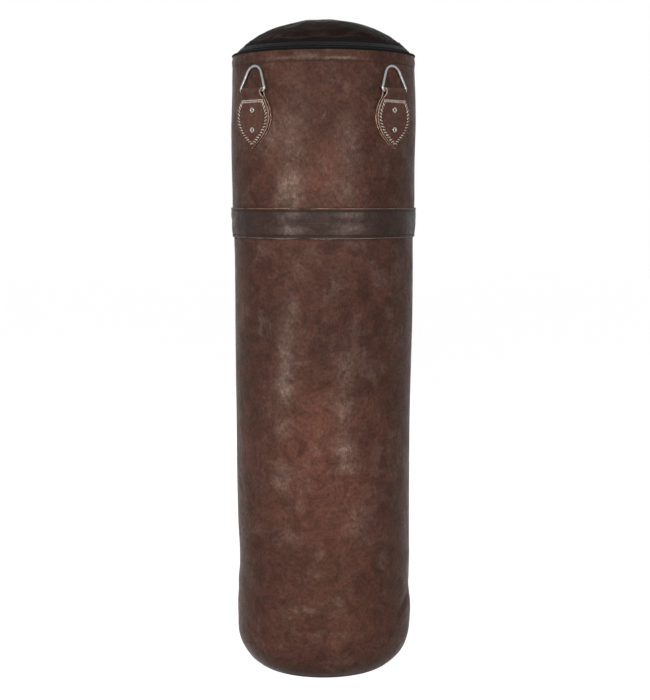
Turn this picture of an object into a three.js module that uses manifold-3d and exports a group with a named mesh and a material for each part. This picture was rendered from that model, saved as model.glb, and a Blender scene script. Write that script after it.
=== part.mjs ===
// A heavy bag for boxing: a stuffed leather cylinder with a domed lid that zips on, a reinforcement
// band, and four riveted tabs that each hold a triangular steel hanging ring.
// Millimetres, +Z up. The origin is the centre of the base, and the front faces -Y.
import * as THREE from "three";
import { mergeVertices } from "three/addons/utils/BufferGeometryUtils.js";
import Module from "manifold-3d";

const { PI, cos, sin, acos, asin, max } = Math;
const deg = THREE.MathUtils.degToRad;

// ---------------------------------------------------------------- driving dimensions

const BAG_RADIUS = 173; // the widest place, at the hanging tabs
const OVERALL_HEIGHT = 1220; // base to the crown of the lid
const LID_RISE = 68; // rim of the wall to the crown of the lid
const BASE_ROUNDING = 76; // height of the turn from wall to base
const BASE_ROUNDING_REACH = 60; // the turn's width
const MIDDLE_HEIGHT = 480;
const SHOULDER_DROP = 125; // rim down to the widest place
const RIM_DRAW_IN = 3.5; // how much narrower the wall is at each place than at its widest
const BAND_DRAW_IN = 1.5;
const UNDER_BAND_DRAW_IN = 4;
const MIDDLE_DRAW_IN = 6.5;
const FOOT_DRAW_IN = 7.5;
const FACETS = 32; // flat sides of every turned shell

const GAP = 0.35; // between two pieces that lie against each other
const LEATHER = 3;
const HEM_THICKNESS = 4.2; // the wall's top edge, turned in and skived
const HEM_DEPTH = 24;
const CANVAS = 1.2;
const BOTTOM_PAD_TOP = 30;
const FOAM_DEPTH = 23; // widest place of the wall in to the foam's inner face
const FOAM_TOP_DROP = 4; // rim down to the foam
const FOAM_FOOT_SLOPE = 22; // the foam's foot thickens inward

const BAND_DROP = 278; // rim down to the top of the reinforcement band
const BAND_WIDTH = 54;
const BAND_THICKNESS = 2.6;

const BASE_SEAM_ANGLE = deg(69); // where wall and base disc meet, below the horizontal
const WELT_RADIUS = 1.8;
const WELT_INSET = 1; // the welt's middle, inside the leather's outer face

const SEAM_STRIP_WIDTH = 30;
const SEAM_STRIP_THICKNESS = 2.2;
const SEAM_STRIP_FOOT = 80; // height of its lower end

const ZIP_SLOPE = deg(45); // the zip band leans in from the rim
const TAPE_THICKNESS = 1.2;
const TAPE_SHOWN = 11.5; // half the zip band: from its edge to the middle of the teeth
const TAPE_TUCK = 20; // sewn inside the hem
const LID_TUCK = 9; // sewn under the lid's edge
const TAPE_BEND_RISE = 1.5; // rim to the bend of the lower tape
const TEETH_INNER = 1.15; // middle of the zip to the near side of a row of teeth
const TEETH_OUTER = 4.1;
const TEETH_HALF_HEIGHT = 1.5;
const TEETH_TAPE_GAP = 0.3;
const UPPER_TAPE_SHORT = 11.6; // the parked slider's middle back to each end
const UPPER_TEETH_SHORT = 22.5;
const STOP_LENGTH = 4;

const SLIDER_LENGTH = 14;
const SLIDER_HALF_WIDTH = 6;
const SLIDER_NOSE_HALF_WIDTH = 4.4;
const SLIDER_PLATE = 1.6;
const SLIDER_WEB_HALF = 0.3;
const SLIDER_FLANGE = 1;
const SLIDER_PLAY = 0.8; // lets the straight slider follow the curved zip
const BAIL_POST_REACH = 3.5; // slider's middle to the middle of a post
const BAIL_POST_LENGTH = 1.6;
const BAIL_WIDTH = 2.4;
const BAIL_BRIDGE = 1.2;
const PULL_BAR_RADIUS = 0.9;
const PULL_BAR_CLEARANCE = 0.3;
const PULL_HALF_WIDTH = 4.6;
const PULL_WINDOW_HALF = 3;
const PULL_WINDOW_END = 6.2;
const PULL_LENGTH = 30;

const LID_FULLNESS = 0.78; // exponent of the dome: 0.5 is an ellipse, 1 a parabola
const LID_LINING_INSET = 8; // from the lid's edge

const HINGE_STRIP_WIDTH = 36;
const HINGE_STRIP_THICKNESS = 2.2;
const HINGE_STRIP_DROP = 28; // down the wall from the rim
const HINGE_STRIP_LAP = 2; // runs of the dome's outline that it is sewn to

const TAB_AZIMUTHS = {
  front_left: deg(-45),
  front_right: deg(45),
  rear_right: deg(135),
  rear_left: deg(-135),
};
const TAB_BAR_DROP = 71; // rim down to the ring's bar
const TAB_LEATHER = 3.2;
const TAB_LENGTH = 101; // bar to the point
const TAB_HALF_WIDTH = 41;
const TAB_FOLD_HALF_WIDTH = 25;
const TAB_WIDEST = 47; // bar down to the widest place
const TAB_CLOSE = 15; // bar down to where the two leaves meet
const LOOP_CLEARANCE = 0.5; // between the ring's bar and the leather round it

const RING_WIRE_RADIUS = 2.5;
const RING_HALF_WIDTH = 30.5; // these four to the middle of the wire
const RING_HEIGHT = 45;
const RING_APEX_RADIUS = 20;
const RING_CORNER_RADIUS = 5;

const RIVET_DROPS = { upper: 33, lower: 68 }; // below the ring's bar
const RIVET_SIDES = 10;
const RIVET_TUBE_RADIUS = 2.9;
const RIVET_BORE_RADIUS = 2.1;
const RIVET_HEAD_RADIUS = 5.3;
const RIVET_HEAD_HEIGHT = 1.7;
const RIVET_TAIL_RADIUS = 5;
const RIVET_TAIL_HEIGHT = 1.4;
const WASHER_RADIUS = 7;
const WASHER_THICKNESS = 1.2;
const BELT_THICKNESS = 3;
const BELT_MARGIN = 13; // past the rivets, above and below

// ---------------------------------------------------------------- derived places

const RIM = OVERALL_HEIGHT - LID_RISE;
const RIM_RADIUS = BAG_RADIUS - RIM_DRAW_IN;
const FOOT_RADIUS = BAG_RADIUS - FOOT_DRAW_IN;
const BASE_FLAT_RADIUS = FOOT_RADIUS - BASE_ROUNDING_REACH;
const BAND_TOP = RIM - BAND_DROP;
const BAND_BOTTOM = BAND_TOP - BAND_WIDTH;
const PANEL_SEAM = (BAND_TOP + BAND_BOTTOM) / 2; // the two wall panels butt behind the band
const FLAT = cos(PI / FACETS); // a flat side's middle is this share of its corners' radius

const LINING_INSET = LEATHER + GAP;
const BELT_INSET = LINING_INSET + CANVAS + GAP;
const BELT_INNER_INSET = BELT_INSET + BELT_THICKNESS;
const RIVET_TAIL_INSET = BELT_INNER_INSET + GAP + WASHER_THICKNESS + GAP + RIVET_TAIL_HEIGHT;
const FOAM_UPPER_INSET = RIVET_TAIL_INSET + 3 * GAP;
const FOAM_INNER_RADIUS = BAG_RADIUS - FOAM_DEPTH;
const FOAM_TOP = RIM - FOAM_TOP_DROP;
const FOAM_FOOT = BOTTOM_PAD_TOP + GAP;
const FILL_RADIUS = FOAM_INNER_RADIUS - GAP;

const TAPE_BEND_RADIUS = RIM_RADIUS - HEM_THICKNESS - GAP - TAPE_THICKNESS / 2;
const TAPE_BEND_HEIGHT = RIM + TAPE_BEND_RISE;
const ZIP_RADIUS = TAPE_BEND_RADIUS - TAPE_SHOWN * cos(ZIP_SLOPE);
const ZIP_HEIGHT = TAPE_BEND_HEIGHT + TAPE_SHOWN * sin(ZIP_SLOPE);
const LID_RADIUS = ZIP_RADIUS - TAPE_SHOWN * cos(ZIP_SLOPE);
const LID_EDGE = ZIP_HEIGHT + TAPE_SHOWN * sin(ZIP_SLOPE);
const LID_DOME = OVERALL_HEIGHT - LID_EDGE;
const LID_LINING_RADIUS = LID_RADIUS - LID_LINING_INSET;
const LID_PAD_FOOT = LID_EDGE - TAPE_THICKNESS - 2 * GAP;
const LID_LINING_TOP = LID_PAD_FOOT - GAP;
const FILL_TOP = LID_LINING_TOP - CANVAS - GAP;

// The slider parks on the flat side next to the hinge strip, with an end stop between them. The
// angles are measured from the front.
const SLIDER_REACH = SLIDER_LENGTH / 2 + GAP;
const STOP_REACH = SLIDER_REACH + GAP + STOP_LENGTH / 2;
const PARKING = HINGE_STRIP_WIDTH / 2 + GAP + STOP_LENGTH / 2 + STOP_REACH;
const alongZip = (length) => asin(length / ZIP_RADIUS);
const SLIDER_ANGLE = PI - Math.ceil((alongZip(PARKING) * FACETS) / (2 * PI)) * ((2 * PI) / FACETS);
const LOWER_HALF_ANGLE = SLIDER_ANGLE + alongZip(SLIDER_REACH);
const STOP_ANGLE = SLIDER_ANGLE + alongZip(STOP_REACH);
const UPPER_TAPE_HALF_ANGLE = SLIDER_ANGLE - alongZip(UPPER_TAPE_SHORT);
const UPPER_TEETH_HALF_ANGLE = SLIDER_ANGLE - alongZip(UPPER_TEETH_SHORT);

const TAB_BAR_HEIGHT = RIM - TAB_BAR_DROP;
const TAB_FACE = 2 * TAB_LEATHER + GAP; // tab's back to its front, where the leaves lie together
const BAR_STANDOFF = TAB_LEATHER + LOOP_CLEARANCE + RING_WIRE_RADIUS; // tab's back to the bar's middle
const RIVET_HOLE_RADIUS = RIVET_TUBE_RADIUS + GAP;
const BELT_TOP = TAB_BAR_HEIGHT - RIVET_DROPS.upper + BELT_MARGIN;
const BELT_BOTTOM = TAB_BAR_HEIGHT - RIVET_DROPS.lower - BELT_MARGIN;

// The wall's outside, as [height, radius] at each named place up it, with straight runs between.
const STATIONS = [
  [BASE_ROUNDING, FOOT_RADIUS],
  [MIDDLE_HEIGHT, BAG_RADIUS - MIDDLE_DRAW_IN],
  [BAND_BOTTOM, BAG_RADIUS - UNDER_BAND_DRAW_IN],
  [BAND_TOP, BAG_RADIUS - BAND_DRAW_IN],
  [RIM - SHOULDER_DROP, BAG_RADIUS],
  [RIM, RIM_RADIUS],
];

function wallRadius(height) {
  const above = STATIONS.findIndex(([z]) => z >= height);
  if (above < 0) return RIM_RADIUS;
  if (above === 0) return FOOT_RADIUS;
  const [z0, r0] = STATIONS[above - 1];
  const [z1, r1] = STATIONS[above];
  return r0 + ((r1 - r0) * (height - z0)) / (z1 - z0);
}

// ---------------------------------------------------------------- solids

const wasm = await Module();
wasm.setup();

function solidOf(geometry) {
  const bare = geometry.index ? geometry.toNonIndexed() : geometry.clone();
  bare.deleteAttribute("normal");
  bare.deleteAttribute("uv");
  const merged = mergeVertices(bare, 1e-4);
  return new wasm.Manifold(
    new wasm.Mesh({
      numProp: 3,
      vertProperties: new Float32Array(merged.attributes.position.array),
      triVerts: new Uint32Array(merged.index.array),
    }),
  );
}

function geometryOf(solid) {
  const mesh = solid.getMesh();
  return new THREE.BufferGeometry()
    .setAttribute("position", new THREE.BufferAttribute(mesh.vertProperties, 3))
    .setIndex(new THREE.BufferAttribute(mesh.triVerts, 1));
}

const cut = (geometry, tools) =>
  geometryOf(tools.reduce((solid, tool) => solid.subtract(solidOf(tool)), solidOf(geometry)));

const common = (a, b) => geometryOf(solidOf(a).intersect(solidOf(b)));

const joined = (geometries) =>
  geometryOf(geometries.map(solidOf).reduce((whole, piece) => whole.add(piece)));

const point = (x, y) => new THREE.Vector2(x, y);

// Turns a closed profile of (radius, height) about +Z. A flat side faces each tab and the back seam.
function turned(profile) {
  return new THREE.LatheGeometry([...profile, profile[0]], FACETS, PI / FACETS).rotateX(PI / 2);
}

const RIGHT = new THREE.Vector3(1, 0, 0);
const LEFT = new THREE.Vector3(-1, 0, 0);
const FRONT = new THREE.Vector3(0, -1, 0);
const BACK = new THREE.Vector3(0, 1, 0);
const UP = new THREE.Vector3(0, 0, 1);
const DOWN = new THREE.Vector3(0, 0, -1);

// An outline drawn in the plane of two directions and pushed along a third, a right-handed set.
function prism(outline, depth, across, up, along) {
  const shape = outline instanceof THREE.Shape ? outline : new THREE.Shape(outline);
  return new THREE.ExtrudeGeometry(shape, { depth, bevelEnabled: false, curveSegments: 6 })
    .applyMatrix4(new THREE.Matrix4().makeBasis(across, up, along));
}

// The space behind the bag's axis that is wider than an angle measured from the front.
function behind(angle) {
  const reach = (2 * BAG_RADIUS) / cos(PI - angle);
  const outline = [
    point(0, 0),
    point(reach * sin(angle), -reach * cos(angle)),
    point(-reach * sin(angle), -reach * cos(angle)),
  ];
  return prism(outline, OVERALL_HEIGHT, RIGHT, BACK, UP).translate(0, 0, RIM - HEM_DEPTH);
}

// ---------------------------------------------------------------- wall outlines

const ROUNDING_RUNS = 5;

// Points up the wall at one inset from its outside, between two heights above the rounding.
function upTheWall(inset, from, to) {
  const heights = STATIONS.map(([z]) => z).filter((z) => z > from && z < to);
  return [from, ...heights, to].map((z) => point(wallRadius(z) - inset, z));
}

// A point of the turn of the base at one inset and an angle below the horizontal.
function roundingPoint(inset, angle) {
  const across = BASE_ROUNDING_REACH - inset;
  const down = BASE_ROUNDING - inset;
  return point(BASE_FLAT_RADIUS + across * cos(angle), BASE_ROUNDING - down * sin(angle));
}

// Points from an angle up to the rounding's top, where the wall begins.
function roundTheBase(inset, angle) {
  const steps = Array.from({ length: ROUNDING_RUNS }, (_, i) => (PI / 2) * (1 - i / ROUNDING_RUNS));
  const higher = steps.filter((a) => a < angle - 1e-6);
  return [angle, ...higher].map((a) => roundingPoint(inset, a));
}

// The same turn from a height, cut straight across the run that the height falls on.
function roundTheBaseFrom(inset, height) {
  const line = [...roundTheBase(inset, PI / 2), roundingPoint(inset, 0)];
  const above = line.findIndex((p) => p.y > height);
  const share = (height - line[above - 1].y) / (line[above].y - line[above - 1].y);
  return [line[above - 1].clone().lerp(line[above], share), ...line.slice(above, -1)];
}

const straightShell = (outer, inner, from, to) => [
  ...upTheWall(outer, from, to),
  ...upTheWall(inner, from, to).reverse(),
];

// ---------------------------------------------------------------- finishes

const finish = (color, roughness, metalness = 0) =>
  new THREE.MeshStandardMaterial({ color, roughness, metalness });

const BODY_LEATHER = finish(0x553c34, 0.45);
const BAND_LEATHER = finish(0x40302b, 0.5);
const LID_LEATHER = finish(0x33241f, 0.5);
const TAB_HIDE = finish(0x54362c, 0.5);
const ZIP_CLOTH = finish(0x161617, 0.85);
const ZIP_NYLON = finish(0x0e0e0f, 0.4);
const ZIP_METAL = finish(0x3a3a3c, 0.4, 1);
const STEEL = finish(0xa9acad, 0.3, 1);
const CLOTH = finish(0x8a8478, 0.9);
const WEBBING = finish(0x2a2a2a, 0.85);
const FOAM_SHEET = finish(0x3a3a3c, 0.95);
const RAGS = finish(0x8c8a86, 1);

const bag = new THREE.Group();

function add(name, geometry, material, parent = bag) {
  const mesh = new THREE.Mesh(geometry, material);
  mesh.name = name;
  parent.add(mesh);
  return mesh;
}

// ---------------------------------------------------------------- leather wall and base

// The wall's flat side under each tab, and the radius at which the tabs' backs lie against it.
const tabSeat =
  max(...upTheWall(0, TAB_BAR_HEIGHT - TAB_LENGTH, TAB_BAR_HEIGHT).map((p) => p.x)) * FLAT + GAP;

function rivetHole() {
  const depth = 2 * (RIVET_TAIL_INSET + TAB_FACE);
  return new THREE.CylinderGeometry(RIVET_HOLE_RADIUS, RIVET_HOLE_RADIUS, depth, RIVET_SIDES);
}

const wallHoles = () =>
  Object.values(TAB_AZIMUTHS).flatMap((azimuth) =>
    Object.values(RIVET_DROPS).map((drop) =>
      rivetHole().translate(0, -tabSeat, TAB_BAR_HEIGHT - drop).rotateZ(azimuth),
    ),
  );

function addWall() {
  const seam = PANEL_SEAM + GAP / 2;
  const hemFoot = RIM - HEM_DEPTH;
  const upper = [
    ...upTheWall(0, seam, RIM),
    point(RIM_RADIUS - HEM_THICKNESS, RIM),
    point(wallRadius(hemFoot) - HEM_THICKNESS, hemFoot),
    ...upTheWall(LEATHER, seam, hemFoot).reverse(),
  ];
  add("upper_panel", cut(turned(upper), wallHoles()), BODY_LEATHER);

  const weltGap = (WELT_RADIUS + GAP) / (BASE_ROUNDING_REACH - LEATHER);
  const mainSide = (inset) => [
    ...roundTheBase(inset, BASE_SEAM_ANGLE - weltGap),
    ...upTheWall(inset, BASE_ROUNDING, PANEL_SEAM - GAP / 2),
  ];
  add("main_panel", turned([...mainSide(0), ...mainSide(LEATHER).reverse()]), BODY_LEATHER);

  const discSide = (inset) => [
    point(0, inset),
    roundingPoint(inset, PI / 2),
    roundingPoint(inset, BASE_SEAM_ANGLE + weltGap),
  ];
  add("base_disc", turned([...discSide(0), ...discSide(LEATHER).reverse()]), BODY_LEATHER);

  const middle = roundingPoint(WELT_INSET, BASE_SEAM_ANGLE);
  const sides = 6;
  const welt = Array.from({ length: sides }, (_, i) => {
    const a = (2 * PI * i) / sides;
    return point(middle.x + WELT_RADIUS * cos(a), middle.y + WELT_RADIUS * sin(a));
  });
  add("base_welt", turned(welt), BAND_LEATHER);
}

function addBandAndBackSeam() {
  const band = straightShell(-GAP - BAND_THICKNESS, -GAP, BAND_BOTTOM, BAND_TOP);
  add("reinforcement_band", turned(band), BAND_LEATHER);

  const strip = (name, from, to) => {
    const ring = turned(straightShell(-GAP - SEAM_STRIP_THICKNESS, -GAP, from, to));
    const reach = 2 * BAG_RADIUS;
    const window = new THREE.BoxGeometry(SEAM_STRIP_WIDTH, reach, 2 * OVERALL_HEIGHT);
    add(name, common(ring, window.translate(0, reach / 2, 0)), BAND_LEATHER);
  };
  strip("back_seam_strip_lower", SEAM_STRIP_FOOT, BAND_BOTTOM - GAP);
  strip("back_seam_strip_upper", BAND_TOP + GAP, RIM - HINGE_STRIP_DROP - GAP);
}

// ---------------------------------------------------------------- lining, padding and filling

function addLiningAndBelt() {
  const top = RIM - HEM_DEPTH - GAP;
  const side = (inset) => [
    point(0, inset),
    ...roundTheBase(inset, PI / 2),
    ...upTheWall(inset, BASE_ROUNDING, top),
  ];
  const lining = [...side(LINING_INSET), ...side(LINING_INSET + CANVAS).reverse()];
  add("wall_lining", cut(turned(lining), wallHoles()), CLOTH);

  const belt = straightShell(BELT_INSET, BELT_INNER_INSET, BELT_BOTTOM, BELT_TOP);
  add("inner_belt", cut(turned(belt), wallHoles()), WEBBING);
}

function addPaddingAndFilling() {
  const below = (line, height) => line.filter((p) => p.y < height);
  const pad = [
    point(0, BELT_INSET),
    ...below(roundTheBase(BELT_INSET, PI / 2), BOTTOM_PAD_TOP),
    roundTheBaseFrom(BELT_INSET, BOTTOM_PAD_TOP)[0],
    point(0, BOTTOM_PAD_TOP),
  ];
  add("bottom_pad", turned(pad), FOAM_SHEET);

  const step = BELT_BOTTOM - GAP;
  const foam = [
    ...roundTheBaseFrom(BELT_INSET, FOAM_FOOT),
    ...upTheWall(BELT_INSET, BASE_ROUNDING, step),
    ...upTheWall(FOAM_UPPER_INSET, step, FOAM_TOP),
    point(FOAM_INNER_RADIUS, FOAM_TOP),
    point(FOAM_INNER_RADIUS, FOAM_FOOT + FOAM_FOOT_SLOPE),
    point(FOAM_INNER_RADIUS - FOAM_FOOT_SLOPE, FOAM_FOOT),
  ];
  add("foam_wrap", turned(foam), FOAM_SHEET);

  const fill = [
    point(0, FOAM_FOOT),
    point(FILL_RADIUS - FOAM_FOOT_SLOPE, FOAM_FOOT),
    point(FILL_RADIUS, FOAM_FOOT + FOAM_FOOT_SLOPE),
    point(FILL_RADIUS, FOAM_TOP),
    point(LID_LINING_RADIUS, RIM),
    point(LID_LINING_RADIUS, FILL_TOP),
    point(0, FILL_TOP),
  ];
  add("textile_filling", turned(fill), RAGS);
}

// ---------------------------------------------------------------- zip tapes and teeth

// A place in the zip's own section: u up the slope towards the lid, v out of its face.
const zipPoint = (u, v) =>
  point(
    ZIP_RADIUS - u * cos(ZIP_SLOPE) + v * sin(ZIP_SLOPE),
    ZIP_HEIGHT + u * sin(ZIP_SLOPE) + v * cos(ZIP_SLOPE),
  );

// How far up the slope a line at v from the zip's face meets a height.
const zipReach = (height, v) => (height - ZIP_HEIGHT - v * cos(ZIP_SLOPE)) / sin(ZIP_SLOPE);

const teethRow = (u0, u1) => [
  zipPoint(u1, -TEETH_HALF_HEIGHT),
  zipPoint(u0, -TEETH_HALF_HEIGHT),
  zipPoint(u0, TEETH_HALF_HEIGHT),
  zipPoint(u1, TEETH_HALF_HEIGHT),
];

const tapeEdge = TEETH_OUTER + TEETH_TAPE_GAP;
const halfTape = TAPE_THICKNESS / 2;

function addLowerZip() {
  const inside = TAPE_BEND_RADIUS - halfTape;
  const outside = TAPE_BEND_RADIUS + halfTape;
  const bend = halfTape * Math.tan(PI / 4 - ZIP_SLOPE / 2);
  const tape = [
    point(inside, RIM - TAPE_TUCK),
    point(outside, RIM - TAPE_TUCK),
    point(outside, TAPE_BEND_HEIGHT + bend),
    zipPoint(-tapeEdge, halfTape),
    zipPoint(-tapeEdge, -halfTape),
    point(inside, TAPE_BEND_HEIGHT - bend),
  ];
  const gap = behind(LOWER_HALF_ANGLE);
  add("zip_lower_tape", cut(turned(tape), [gap]), ZIP_CLOTH);
  add("zip_lower_teeth", cut(turned(teethRow(-TEETH_OUTER, -TEETH_INNER)), [gap]), ZIP_NYLON);

  for (const [side, sign] of [["right", 1], ["left", -1]]) {
    const stop = new THREE.BoxGeometry(TEETH_OUTER * 2, TEETH_HALF_HEIGHT * 2, STOP_LENGTH);
    add(`zip_end_stop_${side}`, stop, ZIP_METAL, zipFrame(sign * STOP_ANGLE));
  }
}

function addUpperZip() {
  const top = LID_EDGE - GAP;
  const bottom = top - TAPE_THICKNESS;
  const tape = [
    zipPoint(tapeEdge, -halfTape),
    zipPoint(tapeEdge, halfTape),
    zipPoint(zipReach(top, halfTape), halfTape),
    point(LID_RADIUS - LID_TUCK, top),
    point(LID_RADIUS - LID_TUCK, bottom),
    zipPoint(zipReach(bottom, -halfTape), -halfTape),
  ];
  add("zip_upper_tape", cut(turned(tape), [behind(UPPER_TAPE_HALF_ANGLE)]), ZIP_CLOTH);
  const teeth = turned(teethRow(TEETH_INNER, TEETH_OUTER));
  add("zip_upper_teeth", cut(teeth, [behind(UPPER_TEETH_HALF_ANGLE)]), ZIP_NYLON);
}

// ---------------------------------------------------------------- zip slider and pull

// A group whose x, y and z run up the slope, out of the zip's face and along the zip at an azimuth.
function zipFrame(azimuth) {
  const frame = new THREE.Group();
  const up = new THREE.Vector3(0, cos(ZIP_SLOPE), sin(ZIP_SLOPE));
  const out = new THREE.Vector3(0, -sin(ZIP_SLOPE), cos(ZIP_SLOPE));
  frame.quaternion.setFromRotationMatrix(new THREE.Matrix4().makeBasis(up, out, RIGHT));
  frame.position.set(0, -ZIP_RADIUS, ZIP_HEIGHT);
  const turn = new THREE.Group();
  turn.rotation.z = azimuth;
  turn.add(frame);
  bag.add(turn);
  return frame;
}

function block([x0, x1], [y0, y1], [z0, z1]) {
  return new THREE.BoxGeometry(x1 - x0, y1 - y0, z1 - z0)
    .translate((x0 + x1) / 2, (y0 + y1) / 2, (z0 + z1) / 2);
}

const CHANNEL = TEETH_HALF_HEIGHT + SLIDER_PLAY;
const SLIDER_FACE = CHANNEL + SLIDER_PLATE;
const BAR_LINE = SLIDER_FACE + PULL_BAR_CLEARANCE + PULL_BAR_RADIUS;
const WELD = 0.1; // how far joined blocks run into each other

// Two plates joined by a web, with lips at both edges that hold the tapes.
function sliderBody() {
  const half = SLIDER_LENGTH / 2;
  const slot = halfTape + SLIDER_PLAY;
  const flangeIn = SLIDER_HALF_WIDTH - SLIDER_FLANGE;
  const blocks = [
    block([-SLIDER_WEB_HALF, SLIDER_WEB_HALF], [-SLIDER_FACE, SLIDER_FACE], [-half, half]),
  ];
  for (const face of [[CHANNEL, SLIDER_FACE], [-SLIDER_FACE, -CHANNEL]]) {
    blocks.push(block([-SLIDER_HALF_WIDTH, SLIDER_HALF_WIDTH], face, [-half, half]));
  }
  for (const edge of [[flangeIn, SLIDER_HALF_WIDTH], [-SLIDER_HALF_WIDTH, -flangeIn]]) {
    blocks.push(block(edge, [slot, CHANNEL + WELD], [-half / 3, half]));
    blocks.push(block(edge, [-CHANNEL - WELD, -slot], [-half / 3, half]));
  }
  const plan = [
    point(-SLIDER_NOSE_HALF_WIDTH, -half),
    point(SLIDER_NOSE_HALF_WIDTH, -half),
    point(SLIDER_HALF_WIDTH, -half / 3),
    point(SLIDER_HALF_WIDTH, half),
    point(-SLIDER_HALF_WIDTH, half),
    point(-SLIDER_HALF_WIDTH, -half / 3),
  ];
  const footprint = prism(plan, 4 * SLIDER_FACE, RIGHT, UP, FRONT);
  return common(joined(blocks), footprint.translate(0, 2 * SLIDER_FACE, 0));
}

// The bridge on the slider's back that traps the pull's bar.
function bailBlocks() {
  const across = [-BAIL_WIDTH / 2, BAIL_WIDTH / 2];
  const postIn = BAIL_POST_REACH - BAIL_POST_LENGTH / 2;
  const postOut = BAIL_POST_REACH + BAIL_POST_LENGTH / 2;
  const bridge = BAR_LINE + PULL_BAR_RADIUS + PULL_BAR_CLEARANCE;
  const crown = bridge + BAIL_BRIDGE;
  return [
    block(across, [SLIDER_FACE - WELD, crown], [-postOut, -postIn]),
    block(across, [SLIDER_FACE - WELD, crown], [postIn, postOut]),
    block(across, [bridge, crown], [-postOut, postOut]),
  ];
}

function pullLeaf() {
  const shape = new THREE.Shape();
  shape.moveTo(-PULL_HALF_WIDTH, 0);
  shape.lineTo(PULL_HALF_WIDTH, 0);
  shape.absarc(0, PULL_LENGTH - PULL_HALF_WIDTH, PULL_HALF_WIDTH, 0, PI, false);
  const window = new THREE.Path([
    point(-PULL_WINDOW_HALF, PULL_BAR_RADIUS / 2),
    point(-PULL_WINDOW_HALF, PULL_WINDOW_END),
    point(PULL_WINDOW_HALF, PULL_WINDOW_END),
    point(PULL_WINDOW_HALF, PULL_BAR_RADIUS / 2),
  ]);
  shape.holes.push(window);
  const leaf = prism(shape, 2 * PULL_BAR_RADIUS, LEFT, DOWN, FRONT);
  return leaf.translate(0, PULL_BAR_RADIUS, 0);
}

function addSlider() {
  const frame = zipFrame(SLIDER_ANGLE);
  add("zip_slider", joined([sliderBody(), ...bailBlocks()]), ZIP_METAL, frame);

  const bar = new THREE.CylinderGeometry(PULL_BAR_RADIUS, PULL_BAR_RADIUS, 2 * PULL_HALF_WIDTH, 12);
  const pull = add("zip_pull", joined([pullLeaf(), bar.rotateZ(PI / 2)]), ZIP_METAL, frame);
  pull.position.y = BAR_LINE;
}

// ---------------------------------------------------------------- lid

const DOME_RUNS = 7;

// The dome's outline from its edge to the axis, with every layer at an inset from the outside.
function dome(inset) {
  const radius = LID_RADIUS - inset;
  const rise = LID_DOME - inset;
  return Array.from({ length: DOME_RUNS + 1 }, (_, i) => {
    const share = i < DOME_RUNS ? cos((PI / 2) * (i / DOME_RUNS)) : 0;
    return point(radius * share, LID_EDGE + rise * (1 - share ** 2) ** LID_FULLNESS);
  });
}

function addLid() {
  add("lid_panel", turned([...dome(0), ...dome(LEATHER).reverse()]), LID_LEATHER);

  const waist = LID_RADIUS - LID_TUCK - GAP;
  const pad = [
    point(0, LID_PAD_FOOT),
    point(waist, LID_PAD_FOOT),
    point(waist, LID_EDGE + GAP),
    ...dome(LEATHER + GAP).filter((p) => p.y > LID_EDGE + GAP),
  ];
  add("lid_pad", turned(pad), FOAM_SHEET);

  const lining = [
    point(0, LID_LINING_TOP - CANVAS),
    point(LID_LINING_RADIUS, LID_LINING_TOP - CANVAS),
    point(LID_LINING_RADIUS, LID_LINING_TOP),
    point(0, LID_LINING_TOP),
  ];
  add("lid_lining", turned(lining), CLOTH);
}

// A line given a thickness on its left, as a closed outline. Corners are mitred.
function thickened(line, thickness) {
  const side = (from, to) => to.clone().sub(from).normalize().rotateAround(point(0, 0), PI / 2);
  const left = line.map((p, i) => {
    const before = side(line[max(i - 1, 0)], line[max(i, 1)]);
    const last = line.length - 1;
    const after = i < last ? side(p, line[i + 1]) : before;
    const mitre = before.clone().add(after).normalize();
    return p.clone().addScaledVector(mitre, thickness / mitre.dot(before));
  });
  return [...line, ...left.reverse()];
}

// The leather tongue that joins lid and wall at the back, between the zip's two ends.
function addHingeStrip() {
  const foot = RIM - HINGE_STRIP_DROP;
  const corners = [
    ...dome(-GAP).slice(0, HINGE_STRIP_LAP + 1).reverse(),
    point(RIM_RADIUS, RIM + GAP),
    point(wallRadius(foot), foot),
  ];
  const line = corners.map((p) => point(p.x * FLAT + GAP, p.y));
  const outline = thickened(line, HINGE_STRIP_THICKNESS);
  const strip = prism(outline, HINGE_STRIP_WIDTH, BACK, UP, RIGHT);
  add("lid_hinge_strip", strip.translate(-HINGE_STRIP_WIDTH / 2, 0, 0), LID_LEATHER);
}

// ---------------------------------------------------------------- tabs

// The strap's section: up the wall, round the ring's bar and down again. x is out from the wall.
function strapSection() {
  const inner = LOOP_CLEARANCE + RING_WIRE_RADIUS;
  const outer = inner + TAB_LEATHER;
  const leaf = TAB_LEATHER + GAP;
  const bend = -TAB_CLOSE / 2;
  const shape = new THREE.Shape();
  shape.moveTo(0, -TAB_LENGTH);
  shape.lineTo(0, 0);
  shape.absarc(BAR_STANDOFF, 0, outer, PI, 0, true);
  shape.bezierCurveTo(BAR_STANDOFF + outer, bend, TAB_FACE, bend, TAB_FACE, -TAB_CLOSE);
  shape.lineTo(TAB_FACE, -TAB_LENGTH);
  shape.lineTo(leaf, -TAB_LENGTH);
  shape.lineTo(leaf, -TAB_CLOSE);
  shape.bezierCurveTo(leaf, bend, BAR_STANDOFF + inner, bend, BAR_STANDOFF + inner, 0);
  shape.absarc(BAR_STANDOFF, 0, inner, 0, PI, false);
  shape.lineTo(TAB_LEATHER, -TAB_LENGTH);
  return shape;
}

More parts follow.
